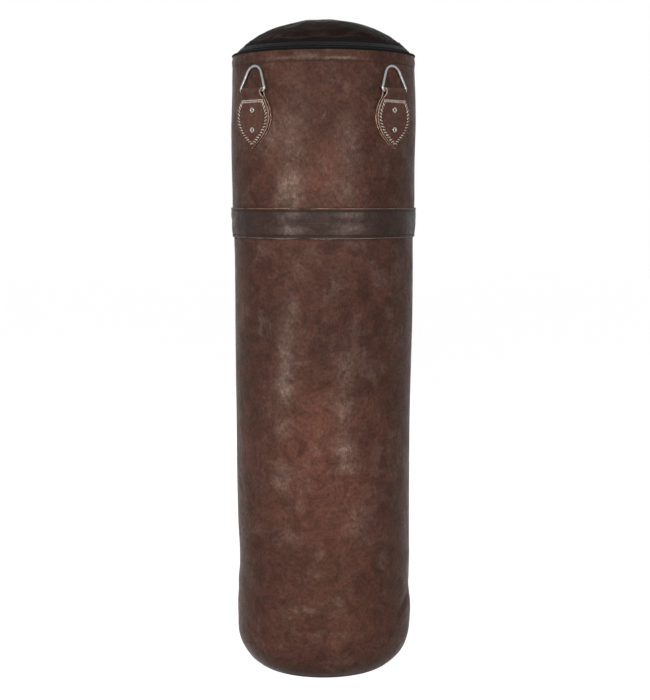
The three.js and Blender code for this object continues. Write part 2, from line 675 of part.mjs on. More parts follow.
// The outline that the strap is cut to: a narrow fold, a wide middle and a point.
function leafOutline() {
  const top = BAR_STANDOFF + TAB_LEATHER;
  const fold = TAB_FOLD_HALF_WIDTH;
  const wide = TAB_HALF_WIDTH;
  const neck = -TAB_CLOSE / 2;
  const shape = new THREE.Shape();
  shape.moveTo(-fold, top);
  shape.lineTo(-fold, neck);
  shape.bezierCurveTo(-wide * 0.84, neck - 9, -wide, 14 - TAB_WIDEST, -wide, -TAB_WIDEST);
  shape.bezierCurveTo(-wide, -TAB_WIDEST - 20, -wide / 2, 12 - TAB_LENGTH, 0, -TAB_LENGTH);
  shape.bezierCurveTo(wide / 2, 12 - TAB_LENGTH, wide, -TAB_WIDEST - 20, wide, -TAB_WIDEST);
  shape.bezierCurveTo(wide, 14 - TAB_WIDEST, wide * 0.84, neck - 9, fold, neck);
  shape.lineTo(fold, top);
  return shape;
}

function tabGeometry() {
  const width = 2 * TAB_HALF_WIDTH + 2;
  const depth = 4 * BAR_STANDOFF;
  const strap = prism(strapSection(), width, FRONT, UP, LEFT).translate(width / 2, 0, 0);
  const leaf = prism(leafOutline(), 2 * depth, RIGHT, UP, FRONT).translate(0, depth, 0);
  const holes = Object.values(RIVET_DROPS).map((drop) => rivetHole().translate(0, 0, -drop));
  return cut(common(strap, leaf), holes);
}

// ---------------------------------------------------------------- rings

// The middle line of half the ring's wire, from the middle of the bar up to the round apex.
function halfRingLine() {
  const corner = point(RING_HALF_WIDTH - RING_CORNER_RADIUS, RING_CORNER_RADIUS);
  const apex = point(0, RING_HEIGHT - RING_APEX_RADIUS);
  const between = apex.clone().sub(corner);
  const spread = acos((RING_CORNER_RADIUS - RING_APEX_RADIUS) / between.length());
  const lean = between.angle() - spread;
  const path = new THREE.Path();
  path.moveTo(0, 0);
  path.absarc(corner.x, corner.y, RING_CORNER_RADIUS, -PI / 2, lean, false);
  path.absarc(apex.x, apex.y, RING_APEX_RADIUS, lean, PI / 2, false);
  return path;
}

function wireSection() {
  const sides = 8;
  const corners = Array.from({ length: sides }, (_, i) => (2 * PI * (i + 0.5)) / sides);
  return new THREE.Shape(
    corners.map((a) => point(RING_WIRE_RADIUS * cos(a), RING_WIRE_RADIUS * sin(a))),
  );
}

function ringGeometry() {
  const steps = 20;
  const points = halfRingLine().getSpacedPoints(steps).map((p) => new THREE.Vector3(p.x, 0, p.y));
  const extrudePath = new THREE.CatmullRomCurve3(points);
  const half = new THREE.ExtrudeGeometry(wireSection(), { steps, extrudePath });
  return joined([half, half.clone().rotateZ(PI)]);
}

// ---------------------------------------------------------------- rivets and washers

// A small turned piece whose profile's height points out of the bag, along -Y.
const turnedOutward = (profile) =>
  new THREE.LatheGeometry([...profile, profile[0]], RIVET_SIDES).rotateX(PI);

// A hollow rivet, from the reach at which its tail starts to the one at which its head does.
function rivetGeometry(tail, head) {
  const tube = RIVET_TUBE_RADIUS;
  const crown = head + RIVET_HEAD_HEIGHT;
  return turnedOutward([
    point(RIVET_BORE_RADIUS, tail),
    point(RIVET_TAIL_RADIUS, tail),
    point(RIVET_TAIL_RADIUS, tail + RIVET_TAIL_HEIGHT),
    point(tube, tail + RIVET_TAIL_HEIGHT),
    point(tube, head),
    point(RIVET_HEAD_RADIUS, head),
    point((RIVET_HEAD_RADIUS + tube) / 2, crown),
    point(RIVET_BORE_RADIUS, crown),
  ]);
}

const washerGeometry = () =>
  turnedOutward([
    point(RIVET_HOLE_RADIUS, 0),
    point(WASHER_RADIUS, 0),
    point(WASHER_RADIUS, WASHER_THICKNESS),
    point(RIVET_HOLE_RADIUS, WASHER_THICKNESS),
  ]);

function addHanger(place, azimuth) {
  const group = new THREE.Group();
  group.rotation.z = azimuth;
  bag.add(group);

  const tab = add(`tab_${place}`, tabGeometry(), TAB_HIDE, group);
  tab.position.set(0, -tabSeat, TAB_BAR_HEIGHT);

  const barRadius = tabSeat + BAR_STANDOFF;
  const apexRadius = wallRadius(TAB_BAR_HEIGHT + RING_HEIGHT) * FLAT + GAP + RING_WIRE_RADIUS;
  const ring = add(`ring_${place}`, ringGeometry(), STEEL, group);
  ring.position.set(0, -barRadius, TAB_BAR_HEIGHT);
  ring.rotation.x = -asin((barRadius - apexRadius) / RING_HEIGHT);

  for (const [level, drop] of Object.entries(RIVET_DROPS)) {
    const height = TAB_BAR_HEIGHT - drop;
    const beltFace = (wallRadius(height) - BELT_INNER_INSET) * FLAT;
    const washerFoot = beltFace - GAP - WASHER_THICKNESS;
    const washer = add(`washer_${place}_${level}`, washerGeometry(), STEEL, group);
    washer.position.set(0, -washerFoot, height);
    const tail = washerFoot - GAP - RIVET_TAIL_HEIGHT - tabSeat;
    const rivet = add(`rivet_${place}_${level}`, rivetGeometry(tail, TAB_FACE + GAP), STEEL, group);
    rivet.position.set(0, -tabSeat, height);
  }
}

// ---------------------------------------------------------------- the whole bag

addWall();
addBandAndBackSeam();
addLiningAndBelt();
addPaddingAndFilling();
addLowerZip();
addUpperZip();
addSlider();
addLid();
addHingeStrip();
for (const [place, azimuth] of Object.entries(TAB_AZIMUTHS)) addHanger(place, azimuth);

export default bag;
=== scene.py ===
# A heavy bag for boxing: a stuffed leather cylinder with a domed lid that zips on, a reinforcement
# band round it, and four riveted tabs that each hold a steel hanging ring.
# Metres, +Z up. The origin is the centre of the base, and the front faces -Y.
import math

import bmesh
import bpy
import numpy as np
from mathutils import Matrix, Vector


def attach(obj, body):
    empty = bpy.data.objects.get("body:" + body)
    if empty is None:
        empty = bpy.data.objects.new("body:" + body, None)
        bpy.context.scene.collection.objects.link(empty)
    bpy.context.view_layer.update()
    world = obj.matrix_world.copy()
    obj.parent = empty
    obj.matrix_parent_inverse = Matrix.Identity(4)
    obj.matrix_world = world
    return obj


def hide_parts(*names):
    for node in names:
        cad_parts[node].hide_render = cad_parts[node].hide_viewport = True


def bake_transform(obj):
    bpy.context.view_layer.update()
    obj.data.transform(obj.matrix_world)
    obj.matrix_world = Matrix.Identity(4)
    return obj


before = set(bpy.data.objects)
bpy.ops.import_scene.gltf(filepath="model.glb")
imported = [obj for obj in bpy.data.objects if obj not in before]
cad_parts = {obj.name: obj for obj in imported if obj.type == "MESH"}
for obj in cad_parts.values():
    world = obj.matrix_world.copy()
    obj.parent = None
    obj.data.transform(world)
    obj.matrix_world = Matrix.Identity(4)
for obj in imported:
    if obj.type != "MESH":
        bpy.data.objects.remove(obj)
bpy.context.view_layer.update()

# ------------------------------------------------------------------------------------------------
# The studio: a pale floor that keeps a faint shadow, two narrow upright soft boxes that draw the
# sheen down the leather, and two broad soft ones that fill, before the bag and behind it.

scene = bpy.context.scene
scene.view_settings.view_transform = "Standard"

camera_lens = bpy.data.cameras.new("camera")
camera_lens.lens = 72.67
camera_lens.sensor_width = 36
camera_lens.clip_end = 60
camera = bpy.data.objects.new("camera", camera_lens)
camera.location = (0.0028, -2.675, 0.8994)
camera.rotation_euler = (math.radians(83.7), 0, 0)
scene.collection.objects.link(camera)
scene.camera = camera


def tone(red, green, blue):
    """A colour as a paint chip gives it, 0 to 255, in the linear light that shaders take."""
    linear = [((c / 255 + 0.055) / 1.055) ** 2.4 if c > 10 else c / 3295 for c in (red, green, blue)]
    return (*linear, 1)


def shown_by_rays(nodes, links, lit, bright):
    """What the eye, a gloss and a glass see is bright, and what lights the bag is lit."""
    path = nodes.new("ShaderNodeLightPath")
    seen = path.outputs["Is Camera Ray"]
    for kind in ("Is Glossy Ray", "Is Transmission Ray"):
        more = nodes.new("ShaderNodeMath")
        more.operation = "MAXIMUM"
        links.new(seen, more.inputs[0])
        links.new(path.outputs[kind], more.inputs[1])
        seen = more.outputs[0]
    level = nodes.new("ShaderNodeMapRange")
    level.inputs["To Min"].default_value = lit
    level.inputs["To Max"].default_value = bright
    links.new(seen, level.inputs["Value"])
    return level.outputs["Result"]


world = bpy.data.worlds.new("studio air")
world.use_nodes = True
scene.world = world
air = world.node_tree.nodes["Background"]
air.inputs["Color"].default_value = (1, 1, 1, 1)
air_level = shown_by_rays(world.node_tree.nodes, world.node_tree.links, 0.05, 1.0)
world.node_tree.links.new(air_level, air.inputs["Strength"])

floor_finish = bpy.data.materials.new("pale floor")
floor_finish.use_nodes = True
floor_nodes, floor_links = floor_finish.node_tree.nodes, floor_finish.node_tree.links
floor_paint = floor_nodes["Principled BSDF"]
floor_paint.inputs["Base Color"].default_value = (0.50, 0.50, 0.50, 1)
floor_paint.inputs["Roughness"].default_value = 0.9
floor_paint.inputs["Specular IOR Level"].default_value = 0.1
floor_paint.inputs["Emission Color"].default_value = (1, 1, 1, 1)
floor_links.new(
    shown_by_rays(floor_nodes, floor_links, 0.0, 0.93), floor_paint.inputs["Emission Strength"]
)

floor_mesh = bpy.data.meshes.new("floor")
floor_shape = bmesh.new()
bmesh.ops.create_circle(floor_shape, cap_ends=True, segments=96, radius=14)
floor_shape.to_mesh(floor_mesh)
floor_shape.free()
floor_mesh.materials.append(floor_finish)
floor = bpy.data.objects.new("floor", floor_mesh)
scene.collection.objects.link(floor)


def soft_box(name, azimuth, away, height, width, tall, power, aim):
    """A rectangular lamp at an azimuth from the front towards the right, aimed at a height."""
    lamp = bpy.data.lights.new(name, "AREA")
    lamp.shape = "RECTANGLE"
    lamp.size = width
    lamp.size_y = tall
    lamp.energy = power
    box = bpy.data.objects.new(name, lamp)
    turn = math.radians(azimuth)
    box.location = (away * math.sin(turn), -away * math.cos(turn), height)
    box.rotation_euler = (Vector((0, 0, aim)) - box.location).to_track_quat("-Z", "Y").to_euler()
    scene.collection.objects.link(box)


soft_box("left strip", -37, 2.6, 1.15, 0.14, 1.7, 21, 0.72)
soft_box("right strip", 26, 2.6, 1.00, 0.18, 1.9, 12, 0.70)
soft_box("broad fill", -2, 3.4, 1.7, 1.2, 1.4, 72, 0.6)
soft_box("back fill", 180, 3.4, 1.7, 1.2, 1.4, 52, 0.6)

# ------------------------------------------------------------------------------------------------
# The wall's shape: leather sewn to a tube and stuffed tight, a little narrower at the rim, the band
# and the foot. Every layer of the bag follows one course up the wall and bulges with it.

FOOT_TURN = 0.076  # height of the turn from the wall to the base
TURN_REACH = 0.060
SNUG = 0.996  # keeps the swelled leather within the plain one's girth
BASE_FLAT = 0.1055
RIM = 1.152
BAND_BOTTOM, PANEL_SEAM, BAND_TOP = 0.820, 0.847, 0.874
HEM_FOOT = 1.128
BASE_SEAM = FOOT_TURN * (1 - 69 / 90)
WELT_GAP = 0.00183
HEM_TURN = 0.0016  # the rim's rounding
TABS = {"front_left": -45, "front_right": 45, "rear_right": 135, "rear_left": -135}
CLEAR = 0.0002  # what the leather keeps clear of the floor, and each panel of the next
MEAN_RADIUS = 0.17
AROUND = 256

round_the_bag = np.linspace(-math.pi, math.pi, AROUND + 1)
azimuths = round_the_bag[:-1]


def up_the_bag():
    """Places up the wall: 0 is the foot's flat, FOOT_TURN the top of its turn, then the height."""
    runs = [
        (0, BASE_SEAM - WELT_GAP, 7),
        (BASE_SEAM - WELT_GAP, BASE_SEAM + WELT_GAP, 2),
        (BASE_SEAM + WELT_GAP, FOOT_TURN, 28),
        (FOOT_TURN, 0.300, 48),
        (0.300, 0.812, 66),
        (0.812, BAND_BOTTOM, 3),
        (BAND_BOTTOM, PANEL_SEAM, 15),
        (PANEL_SEAM, BAND_TOP, 15),
        (BAND_TOP, 0.890, 4),
        (0.890, 1.110, 34),
        (1.110, HEM_FOOT, 9),
        (HEM_FOOT, RIM - HEM_TURN, 15),
    ]
    places = [np.linspace(low, high, count, endpoint=False) for low, high, count in runs]
    return np.concatenate([*places, [RIM - HEM_TURN]])


courses = up_the_bag()


def waves(azimuth, height, count, turns, lengths, seed):
    """Gentle uneven swells: whole waves round the bag, and lengths up it, that add up to about 1."""
    chance = np.random.default_rng(seed)
    total = 0 * (azimuth + height)
    for _ in range(count):
        across = chance.integers(turns[0], turns[1] + 1)
        up = 2 * math.pi / chance.uniform(*lengths) * chance.choice([-1, 1])
        total = total + np.cos(across * azimuth + up * height + chance.uniform(0, 2 * math.pi))
    return total / math.sqrt(count)


def between(value, low, high):
    """0 below low, 1 above high, and a smooth rise between."""
    share = np.clip((value - low) / (high - low), 0, 1)
    return share * share * (3 - 2 * share)


def patches(azimuth, height, spots):
    """Soft round spots: azimuth in degrees, height, the half width of each, and how strong."""
    total = 0 * (azimuth + height)
    for middle, level, wide, tall, strength in spots:
        off = (np.degrees(azimuth) - middle + 180) % 360 - 180
        total = total + strength * np.exp(-((off / wide) ** 2) - ((height - level) / tall) ** 2)
    return total


def folds(azimuth, height, lines):
    """Creases from one place to another: azimuth in degrees and height of both ends, half width,
    and depth."""
    across = azimuth * MEAN_RADIUS
    total = 0 * (azimuth + height)
    for a0, z0, a1, z1, wide, depth in lines:
        start = np.array([math.radians(a0) * MEAN_RADIUS, z0])
        run = np.array([math.radians(a1) * MEAN_RADIUS, z1]) - start
        share = ((across - start[0]) * run[0] + (height - start[1]) * run[1]) / (run @ run)
        held = np.clip(share, 0, 1)
        off = np.hypot(across - start[0] - held * run[0], height - start[1] - held * run[1])
        fade = 1 - (2 * held - 1) ** 2 * 0.8
        total = total + depth * fade * np.exp(-((off / wide) ** 2))
    return total


DENTS = [
    (-92, 0.215, 34, 0.040, -0.0022),
    (88, 0.158, 30, 0.020, -0.0022),
    (95, 0.108, 40, 0.026, 0.0016),
    (-88, 0.118, 40, 0.036, 0.0014),
    (6, 0.240, 26, 0.050, -0.0012),
    (-60, 0.420, 22, 0.060, -0.0011),
    (60, 0.560, 24, 0.090, -0.0010),
    (150, 0.300, 26, 0.060, -0.0018),
    (-140, 0.540, 30, 0.080, -0.0016),
    (180, 0.700, 40, 0.060, -0.0008),
]
FOLDS = [
    (50, 0.100, 74, 0.141, 0.0062, -0.0022),
    (56, 0.128, 84, 0.150, 0.0080, -0.0012),
    (-36, 0.155, 2, 0.138, 0.0042, 0.0024),
    (-50, 0.146, -8, 0.129, 0.0036, -0.0016),
    (-12, 0.232, -7, 0.178, 0.0032, -0.0013),
    (-34, 0.106, 24, 0.102, 0.0045, -0.0017),
    (-46, 0.088, -12, 0.078, 0.0050, -0.0019),
    (-14, 0.075, 30, 0.082, 0.0044, 0.0022),
    (-40, 0.262, -22, 0.240, 0.0040, -0.0006),
    (26, 0.215, 36, 0.180, 0.0044, -0.0006),
    (10, 0.436, 30, 0.424, 0.0036, 0.0006),
    (104, 0.130, 148, 0.112, 0.0050, -0.0013),
    (120, 0.086, 172, 0.094, 0.0048, -0.0011),
    (-166, 0.140, -118, 0.124, 0.0050, -0.0013),
    (-150, 0.098, -104, 0.086, 0.0048, -0.0011),
    (-172, 0.232, -150, 0.205, 0.0044, -0.0008),
]


def swell_of(azimuth, course):
    """How far the stuffed leather stands out from the plain wall at each place."""
    near_tabs = sum(
        np.exp(-(((np.degrees(azimuth) - a) / 21) ** 4) - ((course - 1.032) / 0.072) ** 4)
        for a in sorted(TABS.values())
    )
    loose = between(course, 0.020, 0.075) * (1 - between(course, 0.775, 0.818))
    above = between(course, 0.880, 0.915) * (1 - between(course, 1.085, 1.118))
    body = 0.00085 * waves(azimuth, course, 9, (1, 5), (0.24, 0.70), 4)
    sag = 0.00042 * waves(azimuth, course, 12, (1, 9), (0.030, 0.075), 11)
    low = (1 - between(course, 0.115, 0.30)) * between(course, 0.018, 0.05)
    upper = 0.0006 * waves(azimuth, course, 8, (1, 5), (0.14, 0.4), 23)
    hem = 0.00055 * waves(azimuth, course, 9, (3, 17), (0.05, 0.2), 31)
    hem_belly = np.exp(-(((course - 1.1405) / 0.0062) ** 2)) * (0.0007 + hem)
    stitched_in = -0.0008 * np.exp(-(((course - 1.1315) / 0.0016) ** 2))
    designed = patches(azimuth, course, DENTS) + folds(azimuth, course, FOLDS)
    return (
        loose * (body + designed) + low * sag + above * upper * (1 - near_tabs)
        + hem_belly + stitched_in
    )


def wall_place(course, inset):
    """Radius and height of a layer at its inset from the wall's outside, and its way out."""
    angle = math.pi / 2 * (1 - np.clip(course / FOOT_TURN, 0, 1))
    turned_r = BASE_FLAT + (TURN_REACH - inset) * np.cos(angle)
    turned_z = FOOT_TURN - (FOOT_TURN - inset) * np.sin(angle)
    wall_r = np.interp(
        course,
        [FOOT_TURN, 0.480, BAND_BOTTOM, BAND_TOP, 1.027, RIM],
        [0.1655, 0.1665, 0.1690, 0.1715, 0.1730, 0.1695],
    )
    upright = course >= FOOT_TURN
    slope = np.hypot(np.cos(angle) / TURN_REACH, np.sin(angle) / FOOT_TURN)
    out_r = np.where(upright, 1, np.cos(angle) / TURN_REACH / slope)
    out_z = np.where(upright, 0, -np.sin(angle) / FOOT_TURN / slope)
    radius = np.where(upright, wall_r - inset, turned_r) * SNUG
    return radius, np.where(upright, course, turned_z), out_r, out_z


def turned(reach, azimuth, height):
    """Points at a reach from the bag's axis, an azimuth from the front and a height."""
    parts = (reach * np.sin(azimuth), -reach * np.cos(azimuth), height)
    return np.stack(np.broadcast_arrays(*parts), axis=-1)


def layer(course, inset):
    """Rows of points round the bag at each course, (rows, points round, 3), with the swell."""
    course, inset = np.broadcast_arrays(np.asarray(course, float), np.asarray(inset, float))
    radius, height, out_r, out_z = (v[:, None] for v in wall_place(course, inset))
    swell = np.stack([np.interp(course, courses, one) for one in swelling.T], axis=1)
    level = np.maximum(height + out_z * swell, CLEAR)
    return turned(radius + out_r * swell, azimuths, level)


swelling = swell_of(azimuths[None], courses[:, None])

# ------------------------------------------------------------------------------------------------
# The leather wall: oiled brown hide, paler from wear and redder where it is struck, with painted
# highlights in the pale patches at the front. Two tubes 3 mm thick butt behind the band, the upper
# one turned in at the rim as a hem, and a disc closes the base.


class Finish:
    """A material, with short ways to add the nodes that this bag's finishes share."""

    def __init__(self, name):
        self.material = bpy.data.materials.new(name)
        self.material.use_nodes = True
        self.tree = self.material.node_tree
        self.shader = self.tree.nodes["Principled BSDF"]
        place = self.node("ShaderNodeTexCoord")
        self.here, self.flat = place.outputs["Object"], place.outputs["UV"]

    def node(self, kind, **settings):
        made = self.tree.nodes.new(kind)
        for key, value in settings.items():
            setattr(made, key, value)
        return made

    def put(self, socket, value):
        if isinstance(value, bpy.types.NodeSocket):
            self.tree.links.new(value, socket)
        else:
            socket.default_value = value

    def set(self, **values):
        for key, value in values.items():
            self.put(self.shader.inputs[key.replace("_", " ")], value)

    def stretch(self, where, scale, turn=0.0):
        made = self.node("ShaderNodeMapping")
        self.put(made.inputs["Vector"], where)
        made.inputs["Scale"].default_value = scale
        made.inputs["Rotation"].default_value = (0, 0, turn)
        return made.outputs["Vector"]

    def noise(self, where, scale, detail=2.0, rough=0.5, twist=0.0):
        made = self.node("ShaderNodeTexNoise")
        self.put(made.inputs["Vector"], where)
        made.inputs["Scale"].default_value = scale
        made.inputs["Detail"].default_value = detail
        made.inputs["Roughness"].default_value = rough
        made.inputs["Distortion"].default_value = twist
        return made.outputs["Fac"]

    def cells(self, where, scale, feature="F1"):
        made = self.node("ShaderNodeTexVoronoi", feature=feature)
        self.put(made.inputs["Vector"], where)
        made.inputs["Scale"].default_value = scale
        return made.outputs["Distance"]

    def bands(self, fineness, scale, direction, twist=0.0):
        made = self.node("ShaderNodeTexWave", wave_type="BANDS", bands_direction=direction)
        self.put(made.inputs["Vector"], self.stretch(self.flat, (fineness, fineness, 1)))
        made.inputs["Scale"].default_value = scale
        made.inputs["Distortion"].default_value = twist
        return made.outputs["Fac"]

    def scale_to(self, value, low, high, bottom=0.0, top=1.0):
        made = self.node("ShaderNodeMapRange")
        self.put(made.inputs["Value"], value)
        for key, amount in zip(("From Min", "From Max", "To Min", "To Max"), (low, high, bottom, top)):
            made.inputs[key].default_value = amount
        return made.outputs["Result"]

    def sum(self, operation, a, b):
        made = self.node("ShaderNodeMath", operation=operation)
        self.put(made.inputs[0], a)
        self.put(made.inputs[1], b)
        return made.outputs[0]

    def over(self, share, under, cover):
        made = self.node("ShaderNodeMix", data_type="RGBA")
        self.put(made.inputs[0], share)
        self.put(made.inputs[6], under)
        self.put(made.inputs[7], cover)
        return made.outputs[2]

    def marked(self, name):
        return self.node("ShaderNodeAttribute", attribute_name=name).outputs["Fac"]

    def relief(self, height, depth, below=None):
        made = self.node("ShaderNodeBump")
        made.inputs["Distance"].default_value = depth
        self.put(made.inputs["Height"], height)
        if below is not None:
            self.put(made.inputs["Normal"], below)
        return made.outputs["Normal"]


def hide(name, deep, brown, warm, worn, raw, gloss=0.03, rough=0.30, wear=1.0, relief=1.0):
    """Oiled leather: clouded brown, hair-fine scratches that show pale in the patches of wear and
    painted highlight, pores, and near black where painted shade and soiling are marked.
    """
    f = Finish(name)
    clouds = f.noise(f.here, 9, 5, 0.62, 0.4)
    blotch = f.noise(f.here, 34, 6, 0.72, 0.9)
    mottle = f.noise(f.here, 170, 5, 0.78)
    pores = f.cells(f.here, 620)
    lean = f.noise(f.stretch(f.flat, (900, 95, 1), 0.75), 1, 3, 0.6)
    lean_back = f.noise(f.stretch(f.flat, (820, 80, 1), -0.62), 1, 3, 0.6)
    hairs = f.sum("MAXIMUM", f.scale_to(lean, 0.52, 0.74), f.scale_to(lean_back, 0.55, 0.76))

    wear_and_highlight_share = f.sum("MULTIPLY", f.marked("worn"), f.scale_to(blotch, 0.32, 0.62, 0.35, 1.1))
    scuffed = f.sum("MULTIPLY", f.scale_to(f.noise(f.here, 19, 6, 0.7), 0.52, 0.72), 0.35 * wear)
    wear_and_highlight_share = f.sum("MAXIMUM", wear_and_highlight_share, scuffed)
    showing = f.sum("MULTIPLY", wear_and_highlight_share, f.scale_to(hairs, 0, 0.8, 0.45, 1.25))
    leaning, leaning_back = (f.stretch(f.flat, (1, 1, 1), turn) for turn in (0.55, -0.80))
    scored = f.noise(f.stretch(leaning, (260, 22, 1)), 1, 2, 0.5)
    scored_back = f.noise(f.stretch(leaning_back, (230, 19, 1)), 1, 2, 0.5)
    scores = f.sum("MAXIMUM", f.scale_to(scored, 0.73, 0.76), f.scale_to(scored_back, 0.73, 0.76))
    stains = f.noise(f.here, 21, 5, 0.66, 1.4)
    ruddy = f.noise(f.stretch(f.here, (16, 16, 22)), 1, 5, 0.66, 1.1)
    fibres = f.noise(f.here, 330, 4, 0.75, 1.2)
    shade = (0.25 * deep[0], 0.22 * deep[1], 0.22 * deep[2], 1)
    pit = (0.2 * deep[0], 0.2 * deep[1], 0.2 * deep[2], 1)
    colour = deep
    for share, cover in (
        (f.scale_to(clouds, 0.30, 0.62, 0.25, 1.0), brown),
        (f.scale_to(blotch, 0.50, 0.78, 0, 0.7), warm),
        (f.marked("rosy"), warm),
        # pale where there is wear and where a highlight is painted
        (f.sum("MINIMUM", showing, 0.85), worn),
        (f.sum("MULTIPLY", scores, 0.22), worn),
        (f.scale_to(stains, 0.42, 0.64, 0, 0.58), deep),
        (f.scale_to(ruddy, 0.50, 0.72, 0, 0.34), warm),
        (f.scale_to(fibres, 0.44, 0.70, 0, 0.34), warm),
        (f.scale_to(mottle, 0.34, 0.62, 0.50, 0.0), shade),
        (f.scale_to(pores, 0.0, 0.35, 0.28, 0.0), pit),
        # near black where marked: mostly painted shade in grooves, recesses and faces turned to the
        # wall, partly soiling
        (f.marked("grime"), (0.012, 0.009, 0.008, 1)),
        (f.marked("raw"), f.over(f.scale_to(mottle, 0.3, 0.7), raw, brown)),
    ):
        colour = f.over(share, colour, cover)

    matte = f.scale_to(f.noise(f.here, 24, 5, 0.7, 0.5), 0.3, 0.7, rough - 0.07, rough + 0.17)
    matte = f.sum("SUBTRACT", matte, f.sum("MULTIPLY", showing, 0.06))
    matte = f.sum("ADD", matte, f.sum("MULTIPLY", f.marked("raw"), 0.35))
    uneven = f.relief(f.noise(f.here, 26, 3, 0.5), 0.0040 * relief)
    creased = f.cells(f.stretch(f.here, (34, 34, 52)), 1, "DISTANCE_TO_EDGE")
    lines = f.sum("MULTIPLY", f.scale_to(creased, 0, 0.07, 1, 0), f.scale_to(blotch, 0.52, 0.66))
    for height, depth in (
        (f.sum("SUBTRACT", 1.0, lines), 0.00034), (mottle, 0.00075), (hairs, 0.00026),
        (f.scale_to(pores, 0, 0.45), 0.00016),
    ):
        uneven = f.relief(height, depth * relief, uneven)
    f.set(Base_Color=colour, Roughness=matte, Specular_IOR_Level=gloss, Normal=uneven)
    return f.material


body_leather = hide(
    "body leather",
    deep=tone(56, 38, 31), brown=tone(92, 65, 55), warm=tone(117, 76, 64),
    worn=tone(192, 168, 152), raw=tone(150, 120, 104),
)


def closed_up(mesh, merge):
    """Merges a closed skin's doubled points, and turns its faces outwards."""
    shape = bmesh.new()
    shape.from_mesh(mesh)
    if merge:
        bmesh.ops.remove_doubles(shape, verts=shape.verts, dist=merge)
    bmesh.ops.recalc_face_normals(shape, faces=shape.faces)
    shape.to_mesh(mesh)
    shape.free()


def set_out(name, mesh):
    """Puts a mesh in the scene as a piece of that name."""
    piece = bpy.data.objects.new(name, mesh)
    scene.collection.objects.link(piece)
    return piece


def loft(name, rows, across, along, finish, around=True, looped=True):
    """Skins rows of points into one closed piece, with its unrolled size in metres as its UV map.

    Rows go round the bag where around is true, and the last row joins the first where looped."""
    rows = np.asarray(rows, float)
    count, wide = rows.shape[:2]
    mesh = bpy.data.meshes.new(name)
    k = np.arange(count if looped else count - 1)[:, None]
    i = np.arange(wide if around else wide - 1)[None, :]
    k2, i2 = (k + 1) % count, (i + 1) % wide
    quads = np.stack([k * wide + i, k * wide + i2, k2 * wide + i2, k2 * wide + i], axis=-1)
    faces = quads.reshape(-1, 4).tolist()
    u, v = np.asarray(across), np.asarray(along)
    corner_u = np.stack([u[i], u[i + 1], u[i + 1], u[i]], axis=-1)
    corner_v = np.stack([v[k], v[k], v[k + 1], v[k + 1]], axis=-1)
    shape = np.broadcast_shapes(corner_u.shape, corner_v.shape)
    flat = np.stack([np.broadcast_to(corner_u, shape), np.broadcast_to(corner_v, shape)], axis=-1)
    flat = flat.reshape(-1, 2).tolist()
    if not around:
        for end in (0, wide - 1):
            faces.append([r * wide + end for r in range(count)])
            flat.extend([[across[end], along[min(r, len(along) - 1)]] for r in range(count)])
    mesh.from_pydata(rows.reshape(-1, 3).tolist(), [], faces)
    unrolled = mesh.uv_layers.new(name="unrolled")
    unrolled.data.foreach_set("uv", np.array(flat, np.float32).ravel())
    closed_up(mesh, 1e-6)
    mesh.shade_smooth()
    mesh.set_sharp_from_angle(angle=math.radians(48))
    mesh.materials.append(finish)
    return set_out(name, mesh)


def points_of(piece):
    """A piece's points, with each one's azimuth from the front and its height."""
    flat = np.empty(len(piece.data.vertices) * 3)
    piece.data.vertices.foreach_get("co", flat)
    points = flat.reshape(-1, 3)
    return points, np.arctan2(points[:, 0], -points[:, 1]), points[:, 2]


def mark(piece, **amounts):
    """Keeps how far each point of a piece is pale from wear and painted highlight, rosy, darkened by
    painted shade and soiling, or raw, for its finish to read.
    """
    for name, values in amounts.items():
        kept = piece.data.attributes.new(name, "FLOAT", "POINT")
        values = np.broadcast_to(np.clip(values, 0, 1), (len(piece.data.vertices),))
        kept.data.foreach_set("value", np.ascontiguousarray(values, dtype=np.float32))


def walked(points, closing=None):
    """How far along a row of points each one lies, and last the way back to the first if given."""
    far = np.concatenate([[0], np.cumsum(np.linalg.norm(np.diff(points, axis=0), axis=1))])
    return far if closing is None else np.append(far, far[-1] + closing)


def shell(name, outer_courses, outer, inner_courses, inner, finish):
    """A layer that is closed all round: up its outer face and back down its inner one."""
    rows = np.concatenate([layer(outer_courses, outer), layer(inner_courses, inner)])
    along = outer_courses[0] + walked(np.concatenate([rows[:, 0], rows[:1, 0]]))
    return loft(name, rows, round_the_bag * MEAN_RADIUS, along, finish)


def span(low, high, every=1):
    """The courses from one place up to another, both ends included."""
    inside = courses[(courses > low + 1e-5) & (courses < high - 1e-5)]
    return np.concatenate([[low], inside[::every], [high]])


